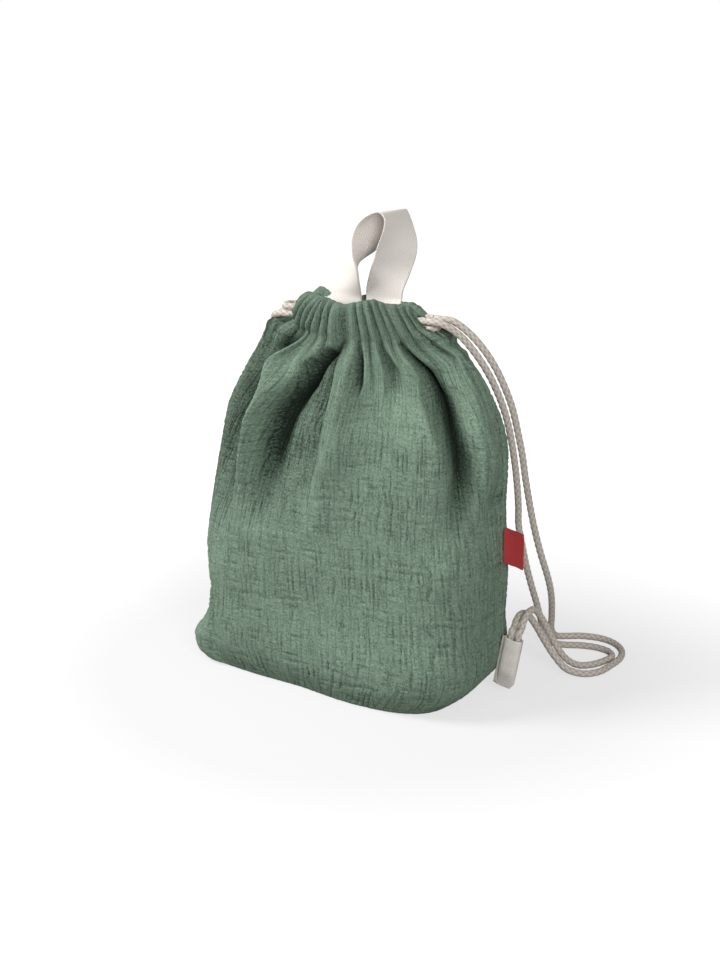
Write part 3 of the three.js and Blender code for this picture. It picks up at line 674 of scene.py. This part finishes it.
FRONT_TOP = [(60.15, -6.5, 0), (66.15, -6.5, 0), (73.5, -3.5, -2)]
BACK_TOP = [(60.15, 6.5, 0), (66.15, 6.5, 0), (73.5, 9, -1)]
FRONT_SIDE = [
    (83, 3, 278), (92, 10, 265), (100, 17, 249), (105, 24, 233), (108, 31, 217), (110, 37, 200),
    (111, 43, 181), (111, 50, 159), (110, 57, 136), (108, 63, 118), (109, 69, 99), (110, 76, 80),
    (112, 83, 61), (114, 90, 44), (115, 97, 28), (116, 103, 14), (121, 107, 5),
]
BACK_SIDE = [
    (84, 14, 279), (94, 19, 267), (102, 25, 252), (108, 31, 235), (111.5, 37, 219), (114, 43, 199),
    (115.5, 49, 180), (116, 56, 158), (117, 63, 136), (119, 70, 113), (122, 77, 91), (125, 84, 72),
    (125.5, 91, 57), (124, 98, 43), (121, 106, 28), (118, 114, 13), (119, 122, 5),
]
FRONT_LOOP = [
    (130, 111, 3.1), (144, 117, 3.1), (157, 119, 3.1), (168, 116, 3.1), (174, 108, 3.1),
    (172, 96, 3.1), (166, 84, 3.1), (159, 74, 5), (153.5, 67, 10), (149, 61, 18), (143, 54, 34),
    (139, 45, 50), (137, 35, 61), (137.5, 23, 64.5), (138, 12, 62), (139, 4, 56),
    tab_point(47.6, OUTER_TAB_CORD), tab_point(42.3, OUTER_TAB_CORD),
]
BACK_LOOP = [
    (126, 130, 3.1), (136, 136, 3.1), (152, 139, 3.1), (165, 135, 3.1), (176, 124, 3.1),
    (181, 109, 3.1), (180, 91, 3.1), (176, 73, 3.1), (167, 62, 4), (156, 56, 8), (146.5, 53.5, 18),
    (139, 48, 33), (135, 40, 47), (132, 31, 58), (131, 21, 61.5), (131.5, 11, 59), (133, 4, 55.5),
    tab_point(47.6, INNER_TAB_CORD), tab_point(42.3, INNER_TAB_CORD),
]


def raised(points, z):
    return [(x, y, z + rise) for x, y, rise in points]


def leaning_back(points):
    """The left cord drops behind the shoulder sooner than the right one."""

    def hump(step, steps):
        return math.sin(math.pi * min((step + 1) / steps, 1))

    slack = []
    for k, (x, y, z) in enumerate(points):
        slack.append((x, y + 10 * hump(k, 9) + 3 * hump(k, 4), z - 6 * hump(k, 5)))
    return slack


LEFT_FRONT_ROUTE = raised(FRONT_TOP, LOWER_CORD) + leaning_back(FRONT_SIDE) + FRONT_LOOP
LEFT_BACK_ROUTE = raised(BACK_TOP, LOWER_CORD) + leaning_back(BACK_SIDE) + BACK_LOOP
ROUTES = {
    "right_cord_front_strand": raised(FRONT_TOP, UPPER_CORD) + FRONT_SIDE + FRONT_LOOP,
    "right_cord_back_strand": raised(BACK_TOP, UPPER_CORD) + BACK_SIDE + BACK_LOOP,
    "left_cord_front_strand": on_side(LEFT_FRONT_ROUTE, -1),
    "left_cord_back_strand": on_side(LEFT_BACK_ROUTE, -1),
}
cords = {}
for cord_name, points in ROUTES.items():
    strand, route, length = braided_cord(cord_name + "_braid", points)
    hand = cord_name.split("_")[0]
    if "front" in cord_name:
        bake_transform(strand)
    else:
        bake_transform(strand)
    cords[cord_name] = strand


def add_group(name, numbers, outputs):
    """An empty shader node group that reads a vector and named numbers, and puts out named values."""
    group = bpy.data.node_groups.new(name, "ShaderNodeTree")
    group.interface.new_socket(name="Vector", in_out="INPUT", socket_type="NodeSocketVector")
    for label, default in numbers.items():
        socket = group.interface.new_socket(name=label, in_out="INPUT", socket_type="NodeSocketFloat")
        socket.default_value = default
    for label in outputs:
        group.interface.new_socket(name=label, in_out="OUTPUT", socket_type="NodeSocketFloat")
    return group, group.nodes.new("NodeGroupInput"), group.nodes.new("NodeGroupOutput")


def set_inputs(node, values):
    for socket, value in values.items():
        node.inputs[socket].default_value = value
    return node


def math_node(tree, operation, first, second=None, third=None):
    """A Math node with numbers or sockets as its inputs; gives its output."""
    node = tree.nodes.new("ShaderNodeMath")
    node.operation = operation
    for slot, value in enumerate((first, second, third)):
        if value is None:
            continue
        if isinstance(value, (int, float)):
            node.inputs[slot].default_value = value
        else:
            tree.links.new(value, node.inputs[slot])
    return node.outputs[0]


def thread_group():
    """Over-and-under threads of a plain weave, as a height."""
    group, given, result = add_group("woven_threads", {"Warp": 900.0, "Weft": 900.0}, ["Height"])
    split = group.nodes.new("ShaderNodeSeparateXYZ")
    group.links.new(given.outputs["Vector"], split.inputs[0])
    turns = []
    for axis, count in (("X", "Warp"), ("Y", "Weft")):
        along = math_node(group, "MULTIPLY", split.outputs[axis], given.outputs[count])
        turns.append(math_node(group, "SINE", math_node(group, "MULTIPLY", along, math.pi)))
    weave = math_node(group, "MULTIPLY", turns[0], turns[1])
    height = math_node(group, "MULTIPLY_ADD", weave, 0.5, 0.5)
    group.links.new(height, result.inputs["Height"])
    return group


def noise_node(tree, vector, scale, values):
    """A noise texture with its vector and scale linked; gives its value."""
    noise = set_inputs(tree.nodes.new("ShaderNodeTexNoise"), values)
    tree.links.new(vector, noise.inputs["Vector"])
    tree.links.new(scale, noise.inputs["Scale"])
    return noise.outputs[0]


def fleck_group():
    """Uneven yarn: specks of lighter and darker fibre, and broad patches, between 0 and 1."""
    group, given, result = add_group("yarn_flecks", {"Scale": 700.0}, ["Fleck", "Mottle"])
    vector = given.outputs["Vector"]
    scale = given.outputs["Scale"]
    fine = noise_node(group, vector, scale, {"Detail": 3.0, "Roughness": 0.7})
    broad = noise_node(group, vector, math_node(group, "MULTIPLY", scale, 0.04), {"Detail": 2.0})
    group.links.new(fine, result.inputs["Fleck"])
    group.links.new(broad, result.inputs["Mottle"])
    return group


def streak_group():
    """Fine puckers of gauze: short streaks up the cloth and fainter ones across it, 0 to 1 and lowest in a
    streak.
    """
    group, given, result = add_group("gauze_streaks", {"Pitch": 0.0017, "Level": 0.5}, ["Height"])
    depths = []
    for stretch in ((1.0, 0.065, 1.0), (0.2, 1.0, 1.0)):
        turn = set_inputs(group.nodes.new("ShaderNodeMapping"), {"Scale": stretch})
        group.links.new(given.outputs["Vector"], turn.inputs["Vector"])
        scale = math_node(group, "DIVIDE", 1.0, given.outputs["Pitch"])
        noise = noise_node(group, turn.outputs[0], scale, {"Detail": 1.0, "Roughness": 0.5})
        narrow = set_inputs(group.nodes.new("ShaderNodeMapRange"), {"From Min": 0.5, "From Max": 0.68})
        narrow.interpolation_type = "SMOOTHSTEP"
        group.links.new(noise, narrow.inputs["Value"])
        depths.append(narrow.outputs[0])
    across = math_node(group, "MULTIPLY", depths[1], given.outputs["Level"])
    deepest = math_node(group, "MAXIMUM", depths[0], across)
    group.links.new(math_node(group, "SUBTRACT", 1.0, deepest), result.inputs["Height"])
    return group


THREADS = thread_group()
FLECKS = fleck_group()
STREAKS = streak_group()
# The height of the yarn in metres, and how much of its contrast is in broad patches
YARN_RELIEF = 0.0006
MOTTLE_SHARE = 0.12


def placed(tree, group, vector, values):
    """A node group set in a material, reading the cloth's UV map."""
    node = tree.nodes.new("ShaderNodeGroup")
    node.node_tree = group
    tree.links.new(vector, node.inputs["Vector"])
    return set_inputs(node, values)


def yarn_material(
    name, raised, sunk_shade, warp, weft, fleck_scale, bump,
    contrast=0.3, crease_shade=True, sheen=0.15, streaks=0.0,
):
    """Matt yarn: a colour for raised places and a darker one painted as shade in hollows, a weave in
    threads to the metre, and flecks.
    """
    material = bpy.data.materials.new(name)
    material.use_nodes = True
    tree = material.node_tree
    shader = set_inputs(tree.nodes["Principled BSDF"], {
        "Roughness": 0.92, "Specular IOR Level": 0.25,
        "Sheen Weight": sheen, "Sheen Roughness": 0.5, "Sheen Tint": (*raised, 1),
    })
    uv_map = tree.nodes.new("ShaderNodeUVMap")
    uv_map.uv_map = "cloth"
    place = uv_map.outputs[0]
    threads = placed(tree, THREADS, place, {"Warp": warp, "Weft": weft})
    flecks = placed(tree, FLECKS, place, {"Scale": fleck_scale})
    # Painted shade: the stored shade value, or else the weave's thread height, sets where the darker
    # colour goes
    if crease_shade:
        depth = tree.nodes.new("ShaderNodeAttribute")
        depth.attribute_name = "crease_shade"
        height = depth.outputs["Fac"]
    else:
        height = threads.outputs["Height"]
    mottle = MOTTLE_SHARE * contrast
    speck = math_node(tree, "MULTIPLY_ADD", flecks.outputs["Fleck"], contrast, -0.5 * contrast)
    patch = math_node(tree, "MULTIPLY_ADD", flecks.outputs["Mottle"], mottle, -0.5 * mottle)
    level = math_node(tree, "ADD", height, math_node(tree, "ADD", speck, patch))
    fibre = math_node(tree, "MULTIPLY", flecks.outputs["Fleck"], 0.6)
    relief = math_node(tree, "MULTIPLY_ADD", threads.outputs["Height"], 0.6, fibre)
    # The fine puckers are bumps, and the colour also darkens along them as painted shade
    if streaks:
        pucker = placed(tree, STREAKS, place, {}).outputs["Height"]
        streak = math_node(tree, "MULTIPLY_ADD", pucker, streaks, -streaks)
        level = math_node(tree, "ADD", level, streak)
        relief = math_node(tree, "MULTIPLY_ADD", pucker, 1.2, relief)
    # Mix towards the painted-shade colour where the level is low
    colours = tree.nodes.new("ShaderNodeMix")
    colours.data_type = "RGBA"
    colours.clamp_factor = False
    set_inputs(colours, {"A": (*sunk_shade, 1), "B": (*raised, 1)})
    tree.links.new(math_node(tree, "MAXIMUM", level, 0.0), colours.inputs["Factor"])
    tree.links.new(colours.outputs["Result"], shader.inputs["Base Color"])
    bumps = set_inputs(tree.nodes.new("ShaderNodeBump"), {"Strength": bump, "Distance": YARN_RELIEF})
    tree.links.new(relief, bumps.inputs["Height"])
    tree.links.new(bumps.outputs["Normal"], shader.inputs["Normal"])
    return material


# The second colour of each yarn is painted shade, mixed in where the surface lies deep: the gauze's folds,
# creases and gaps between gathers, and the grooves between threads, ribs and braid strands of the others.
gauze = yarn_material(
    "green_gauze", (0.202, 0.29, 0.214), (0.012, 0.023, 0.014),
    warp=1150, weft=1000, fleck_scale=650, bump=0.8, contrast=2.1, streaks=0.24,
)
lining_cloth = yarn_material(
    "green_lining", (0.16, 0.235, 0.175), (0.10, 0.155, 0.11),
    warp=1400, weft=1300, fleck_scale=900, bump=0.25, crease_shade=False,
)
webbing = yarn_material(
    "cream_webbing", (0.96, 0.91, 0.87), (0.72, 0.65, 0.59),
    warp=900, weft=700, fleck_scale=1100, bump=0.6, contrast=0.45,
)
cord_yarn = yarn_material(
    "greige_braid", (0.80, 0.73, 0.66), (0.36, 0.31, 0.26),
    warp=2600, weft=1500, fleck_scale=1500, bump=0.4, contrast=0.4,
)
label_weave = yarn_material(
    "red_woven_label", (0.68, 0.08, 0.085), (0.50, 0.045, 0.05),
    warp=2200, weft=2200, fleck_scale=1600, bump=0.3, crease_shade=False, sheen=0.1,
)

for cord_name, strand in cords.items():
    dress(strand, cord_yarn, "greige_cord", cord_name)


def cloth_piece(side, name, columns, rows, top, inset=0.0, fine=True):
    """One side of the bag's cloth from the base seam up."""
    piece, order, share, up = grid_piece(name, columns, rows)
    climb = CLOTH_FOOT + up * (top - CLOTH_FOOT)
    place, crease_shade = cloth_shape(side, share, climb, inset, fine)
    set_shape(piece, order, place, joined(share * FLAT_WIDTH[side], climb), crease_shade)
    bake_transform(piece)
    return piece


# Outer cloth, from the base seam up and round the drawstring channel
CLOTH_TOP = STITCH_LINE + CHANNEL_GIRTH
front_cloth = cloth_piece("front", "front_cloth", 400, 244, CLOTH_TOP)
back_cloth = cloth_piece("back", "back_cloth", 350, 240, CLOTH_TOP)
for side, sheet in (("front", front_cloth), ("back", back_cloth)):
    dress(sheet, gauze, "green_cotton", side + "_panel", side + "_neck", side + "_channel")

# Lining: plain cotton that follows the folds of the outer cloth from inside
LINING_INSET = 3.2
LINING_TOP = 271.0
for side in ("front", "back"):
    sheet = cloth_piece(side, side + "_lining_cloth", 150, 130, LINING_TOP, LINING_INSET, fine=False)
    dress(sheet, lining_cloth, "lining_cotton", side + "_lining", side + "_neck_lining")

# The middle of the base, measured on its cloth from a corner
BASE_MIDDLE = (140, 60)


def base_sheet(name, height, inset, fine):
    """The bag's bottom: a sheet out to the lower edge of the walls, slightly quilted by the gauze."""
    piece, order, turn, out = grid_piece(name, 220, 60)
    angle = 2 * np.pi * turn
    from_right = np.minimum(angle, 2 * np.pi - angle)
    low = np.full(angle.shape, CLOTH_FOOT)
    front_x, front_y = wall("front", from_right, low)
    back_x, back_y = wall("back", from_right, low)
    edge_x = np.where(angle < np.pi, back_x, front_x)
    edge_y = np.where(angle < np.pi, back_y, front_y)
    length = np.hypot(edge_x, edge_y)
    reach = out * (length - inset) / length
    x = edge_x * reach
    y = edge_y * reach
    uv = joined(x + BASE_MIDDLE[0], y + BASE_MIDDLE[1])
    pucker = np.full_like(x, PUCKER_LEVEL)
    if fine:
        pucker = crinkle("back", uv[..., 0], uv[..., 1])
    z = height + 0.5 * (pucker - PUCKER_LEVEL) * ease((1 - out) / 0.08)
    # The gauze's puckers double as painted shade in the base's creases
    set_shape(piece, order, joined(x, y, z), uv, np.clip(pucker, 0, 1))
    weld_and_face_out(piece, 1e-5)
    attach(piece, "bag")
    return piece


base_cloth = base_sheet("base_cloth", 0.6, 0.0, fine=True)
dress(base_cloth, gauze, "green_cotton", "base_panel")
base_lining_cloth = base_sheet("base_lining_cloth", 3.4, 2.0, fine=False)
dress(base_lining_cloth, lining_cloth, "lining_cotton", "base_lining")

# Cords inside the channel, their turns at the far end, and their ends in the tabs
CORD_EXIT = 60.15
CORD_RUN_END = 59.85
CORD_LEAD = 1.5
TURN_REACH = 3.5
END_STATIONS = (42, 36, 30, 25, 20)


def cord_part(name, points):
    piece = braided_cord(name + "_braid", points)[0]
    dress(piece, cord_yarn, "greige_cord", name)
    return piece


def run_points(side, z):
    places = np.linspace(-CORD_RUN_END, CORD_RUN_END, 25)
    return [(float(x), float(mouth_line(side, x)[0]), z) for x in places]


def turn_points(end, z):
    points = [(CORD_EXIT, -MOUTH_END_DEPTH, z)]
    for k in range(13):
        bend = math.radians(-90 + 15 * k)
        x = CORD_EXIT + CORD_LEAD + TURN_REACH * math.cos(bend)
        points.append((x, MOUTH_END_DEPTH * math.sin(bend), z))
    points.append((CORD_EXIT, MOUTH_END_DEPTH, z))
    return on_side(points, end)


for hand, end, z in (("right", 1, UPPER_CORD), ("left", -1, LOWER_CORD)):
    front_run = cord_part(hand + "_cord_front_run", run_points("front", z))
    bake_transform(front_run)
    back_run = cord_part(hand + "_cord_back_run", run_points("back", z))
    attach(back_run, "mouth_back")
    turn = cord_part(hand + "_cord_turn", turn_points(-end, z))
    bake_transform(turn)
    for strand_name, out in (("front", OUTER_TAB_CORD), ("back", INNER_TAB_CORD)):
        tip = on_side([tab_point(up, out) for up in END_STATIONS], end)
        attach(cord_part(hand + "_cord_" + strand_name + "_end", tip), hand + "_tab")

# Carrying handle: one strip of webbing, sewn inside the back of the channel at both ends
HANDLE_WIDTH = 30.0
WEBBING_THICKNESS = 1.8
WEBBING_RELIEF = 0.5
RIB_PITCH = 1.25
WEFT_PITCH = 1.5
HANDLE_MIDDLE = -1.0
HANDLE_LEG = 17.5
HANDLE_FOOT = 298.0
HANDLE_Y = 7.8
HANDLE_INSIDE = 7.2
SEWN_HEIGHTS = (-5, -11, -17, -23)
# Length in mm that a degree of twist counts for, so that the band has more rings where it twists
TWIST_LENGTH = 0.12
# Each point is x from the middle of the legs, height above the rim's foot line, and the twist in degrees
HANDLE_LOOP = [
    (-17.5, 0, 0), (-13, 12, 30), (-6, 24, 62), (0, 34, 96), (5, 46, 122), (10, 56, 126), (17, 63.5, 116),
    (24, 67, 102), (28, 62.5, 98), (29.5, 52, 112), (27.5, 36, 145), (22.2, 20, 165), (18.2, 8, 177),
    (17.5, 0, 180),
]


def webbing_ribs(across, run):
    """Fine ribs of a flat woven band: columns along it, crossed by the weft."""
    columns = arches(across / RIB_PITCH)
    weft = arches(run / WEFT_PITCH + 0.5 * np.floor(across / RIB_PITCH))
    return 0.5 * columns + 0.5 * weft


def handle_strip():
    """The band along its twisted loop, from one sewn end to the other."""
    first_leg = [(-HANDLE_LEG, height, 0) for height in reversed(SEWN_HEIGHTS)]
    last_leg = [(HANDLE_LEG, height, 180) for height in SEWN_HEIGHTS]
    stations = np.array(first_leg + HANDLE_LOOP + last_leg, float)
    route, length = smooth_route(stations * (1, 1, TWIST_LENGTH), 0.75)
    faces = 49
    piece, order, turn, up = grid_piece("handle_webbing", 2 * faces + 2, len(route) - 1)
    half = HANDLE_WIDTH / 2
    flat = np.linspace(-half, half, faces)
    rim = np.array([half + 0.6])
    across = np.concatenate([flat, rim, flat[::-1], -rim, flat[:1]])
    lift = np.concatenate([np.full(faces, 0.5), [0], np.full(faces, -0.5), [0], [0.5]])
    across = np.broadcast_to(across, turn.shape)
    lift = np.broadcast_to(lift, turn.shape)
    run = up * length
    ribs = webbing_ribs(across + half, run)
    thickness = WEBBING_THICKNESS - WEBBING_RELIEF + WEBBING_RELIEF * ribs
    angle = np.radians(route[:, 2] / TWIST_LENGTH)[:, None]
    height = route[:, 1][:, None]
    x = HANDLE_MIDDLE + route[:, 0][:, None] + across * np.cos(angle) + lift * thickness * np.sin(angle)
    sewn_y = mouth_line("back", x)[0] - HANDLE_INSIDE
    free = ease((height + 6) / 8)
    wave = 0.25 * drift(run / 30, across / 18, 31)
    curve = HANDLE_Y + free * wave + (1 - free) * (sewn_y - HANDLE_Y)
    y = curve - across * np.sin(angle) + lift * thickness * np.cos(angle)
    z = HANDLE_FOOT + np.broadcast_to(height, turn.shape)
    uv = joined(across + half, run)
    # The ribs double as painted shade: the colour darkens between them
    set_shape(piece, order, joined(x, y, z), uv, ribs)
    return weld_and_face_out(piece, close=True)


handle = handle_strip()
dress(handle, webbing, "cream_webbing", "handle_loop", "left_handle_end", "right_handle_end")
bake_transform(handle)

# Tabs: webbing folded to a sleeve round the cords' ends, pressed flat at the bottom
TAB_FLANGE = 1.5
TAB_SLEEVE = 14.5
TAB_BORE_HALF = 3.1
TAB_WALL = 1.2
TAB_BORE_DEPTH = 21.0
HEM_MIDDLE = 1.1
HEM_HALF_WIDTH = 1.9


def squared(wave, power):
    """A sine or cosine drawn out towards a square section's corners."""
    return np.sign(wave) * np.abs(wave) ** power


def finish_tab_piece(piece, order, hand, end, place, uv, ribs, *nodes):
    """Shapes and dresses a piece of a tab on its side of the bag."""
    x, y, z = place
    # The last value is painted shade for the material: low values take the darker colour
    set_shape(piece, order, joined(end * x, y, z), uv, ribs)
    weld_and_face_out(piece, close=True)
    dress(piece, webbing, "cream_webbing", *nodes)
    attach(piece, hand + "_tab")


def tab_sleeve(hand, end):
    """One sleeve, from its pressed lower edge up to the rolled mouth and down inside."""
    outside = np.linspace(0, TAB_LENGTH - 0.6, 60)
    lip = [(TAB_LENGTH - 0.2, 0.75), (TAB_LENGTH, 0.5), (TAB_LENGTH - 0.2, 0.2)]
    inside = np.linspace(TAB_LENGTH - 1, TAB_LENGTH - TAB_BORE_DEPTH, 16)
    up = np.concatenate([outside, [rise for rise, _ in lip], inside])
    skin = np.concatenate([np.ones(60), [share for _, share in lip], np.zeros(16)])
    piece, order, turn, _ = grid_piece(hand + "_tab_webbing", 56, len(up) - 1)
    up = np.broadcast_to(up[:, None], turn.shape)
    skin = np.broadcast_to(skin[:, None], turn.shape)
    angle = 2 * np.pi * turn
    press = 0.16 + 0.84 * ease(up / 17)
    ribs = arches(up / WEFT_PITCH)
    wall_part = TAB_WALL * skin
    half_thick = (TAB_BORE_HALF + wall_part) * press + 0.16 * ribs * skin
    half_long = TAB_SLEEVE / 2 - TAB_WALL + wall_part + 0.3 * (1 - press)
    round_x = squared(np.cos(angle), 0.72)
    corner = 2.6 * ease(1 - up / 5) * ease((round_x + 0.1) / 1.1)
    out = TAB_FLANGE + TAB_SLEEVE / 2 + half_long * round_x - corner
    rise = up + 0.5 * drift(turn * 6, 0.5, 40 + end) * ease((up - 30) / 12)
    place = tab_point(rise, out, half_thick * squared(np.sin(angle), 0.72))
    finish_tab_piece(piece, order, hand, end, place, joined(turn * 38, up), ribs, hand + "_tab")


def tab_hem(hand, end):
    """The flat hem that is caught in the side seam."""
    piece, order, turn, up = grid_piece(hand + "_tab_hem", 16, 40)
    angle = 2 * np.pi * turn
    rise = 1 + up * (TAB_LENGTH - 2)
    out = HEM_MIDDLE + HEM_HALF_WIDTH * squared(np.cos(angle), 0.4)
    half_thick = 1.0 + 0.1 * arches(rise / WEFT_PITCH)
    place = tab_point(rise, out, half_thick * squared(np.sin(angle), 0.4))
    # The depth through the hem is given as the shade value: its front face takes the darker colour and its
    # back face a lighter one
    finish_tab_piece(piece, order, hand, end, place, joined(turn * 8, rise), place[1])


for hand, end in (("right", 1), ("left", -1)):
    tab_sleeve(hand, end)
    tab_hem(hand, end)

# Label: a woven strip folded in two, its ends caught in the right seam
LABEL_START = 124.73
LABEL_REACH = 18.0
LABEL_LOW = 109.0
LABEL_HEIGHT = 28.0
LABEL_HALF_THICK = 0.5
LABEL_BEND = 4.0


def folded_label():
    """The strip from seam to fold and back, bent forwards and bowed a little."""
    piece, order, along, up = grid_piece("folded_label", 90, 60)
    flat_half = LABEL_REACH - LABEL_HALF_THICK
    strip = 2 * flat_half + np.pi * LABEL_HALF_THICK
    run = along * strip
    fold = np.clip((run - flat_half) / LABEL_HALF_THICK, 0, np.pi)
    out = np.minimum(run, flat_half) + LABEL_HALF_THICK * np.sin(fold)
    out = out - np.maximum(run - strip + flat_half, 0)
    bow = 0.35 * np.sin(np.pi * up) * ease(out / 10)
    curl = 0.4 * ease((up - 0.75) / 0.25) * ease(out / 14)
    y = -LABEL_HALF_THICK * np.cos(fold) + bow - curl
    y -= LABEL_BEND * (out / LABEL_REACH) ** 1.5
    z = LABEL_LOW + LABEL_HEIGHT * up + 0.15 * np.sin(out * 0.7) - 0.08 * out
    uv = joined(run, LABEL_HEIGHT * up)
    return set_shape(piece, order, joined(LABEL_START + out, y, z), uv)


side_label = folded_label()
dress(side_label, label_weave, "red_label", "side_label")
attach(side_label, "label")


def seen_directly(tree):
    """1 for rays that look straight at a surface, also by a mirror or through glass, and 0 for others."""
    rays = tree.nodes.new("ShaderNodeLightPath").outputs
    seen = math_node(tree, "ADD", rays["Is Camera Ray"], rays["Is Glossy Ray"])
    return math_node(tree, "ADD", seen, rays["Is Transmission Ray"])


# Pale floor, whose glow to the camera rises to white away from the bag
floor_mesh = bmesh.new()
bmesh.ops.create_grid(floor_mesh, x_segments=4, y_segments=4, size=6.0)
floor_data = bpy.data.meshes.new("floor")
floor_mesh.to_mesh(floor_data)
floor_mesh.free()
floor = add_object("floor", floor_data)
paper = bpy.data.materials.new("pale_floor")
paper.use_nodes = True
paper_tree = paper.node_tree
paper_shader = set_inputs(paper_tree.nodes["Principled BSDF"], {
    "Base Color": (0.27, 0.27, 0.27, 1), "Roughness": 1.0, "Specular IOR Level": 0.0,
    "Emission Color": (1, 1, 1, 1),
})
away = paper_tree.nodes.new("ShaderNodeTexCoord")
distance = paper_tree.nodes.new("ShaderNodeVectorMath")
distance.operation = "LENGTH"
paper_tree.links.new(away.outputs["Object"], distance.inputs[0])
glow = set_inputs(paper_tree.nodes.new("ShaderNodeMapRange"), {
    "From Min": 0.2, "From Max": 0.55, "To Min": 0.66, "To Max": 1.0,
})
paper_tree.links.new(distance.outputs["Value"], glow.inputs["Value"])
bright = math_node(paper_tree, "MULTIPLY", seen_directly(paper_tree), glow.outputs[0])
paper_tree.links.new(bright, paper_shader.inputs["Emission Strength"])
floor_data.materials.append(paper)

# White background that lights the bag only faintly, and two soft lamps
world = bpy.data.worlds.new("studio")
bpy.context.scene.world = world
world.use_nodes = True
sky = world.node_tree.nodes["Background"]
sky.inputs["Color"].default_value = (1, 1, 1, 1)
sky_seen = math_node(world.node_tree, "MULTIPLY_ADD", seen_directly(world.node_tree), 0.8, 0.2)
world.node_tree.links.new(sky_seen, sky.inputs["Strength"])


def soft_lamp(name, place, aim, size, power):
    lamp = bpy.data.lights.new(name, "AREA")
    lamp.shape = "DISK"
    lamp.size = size
    lamp.energy = power
    aim_at(add_object(name, lamp), place, aim)


soft_lamp("key", (-1.3, -0.9, 1.5), (0, 0, 0.15), 1.0, 42)
soft_lamp("fill", (1.15, -1.25, 0.85), (0, 0, 0.25), 0.8, 17)

bpy.context.scene.view_settings.view_transform = "Standard"
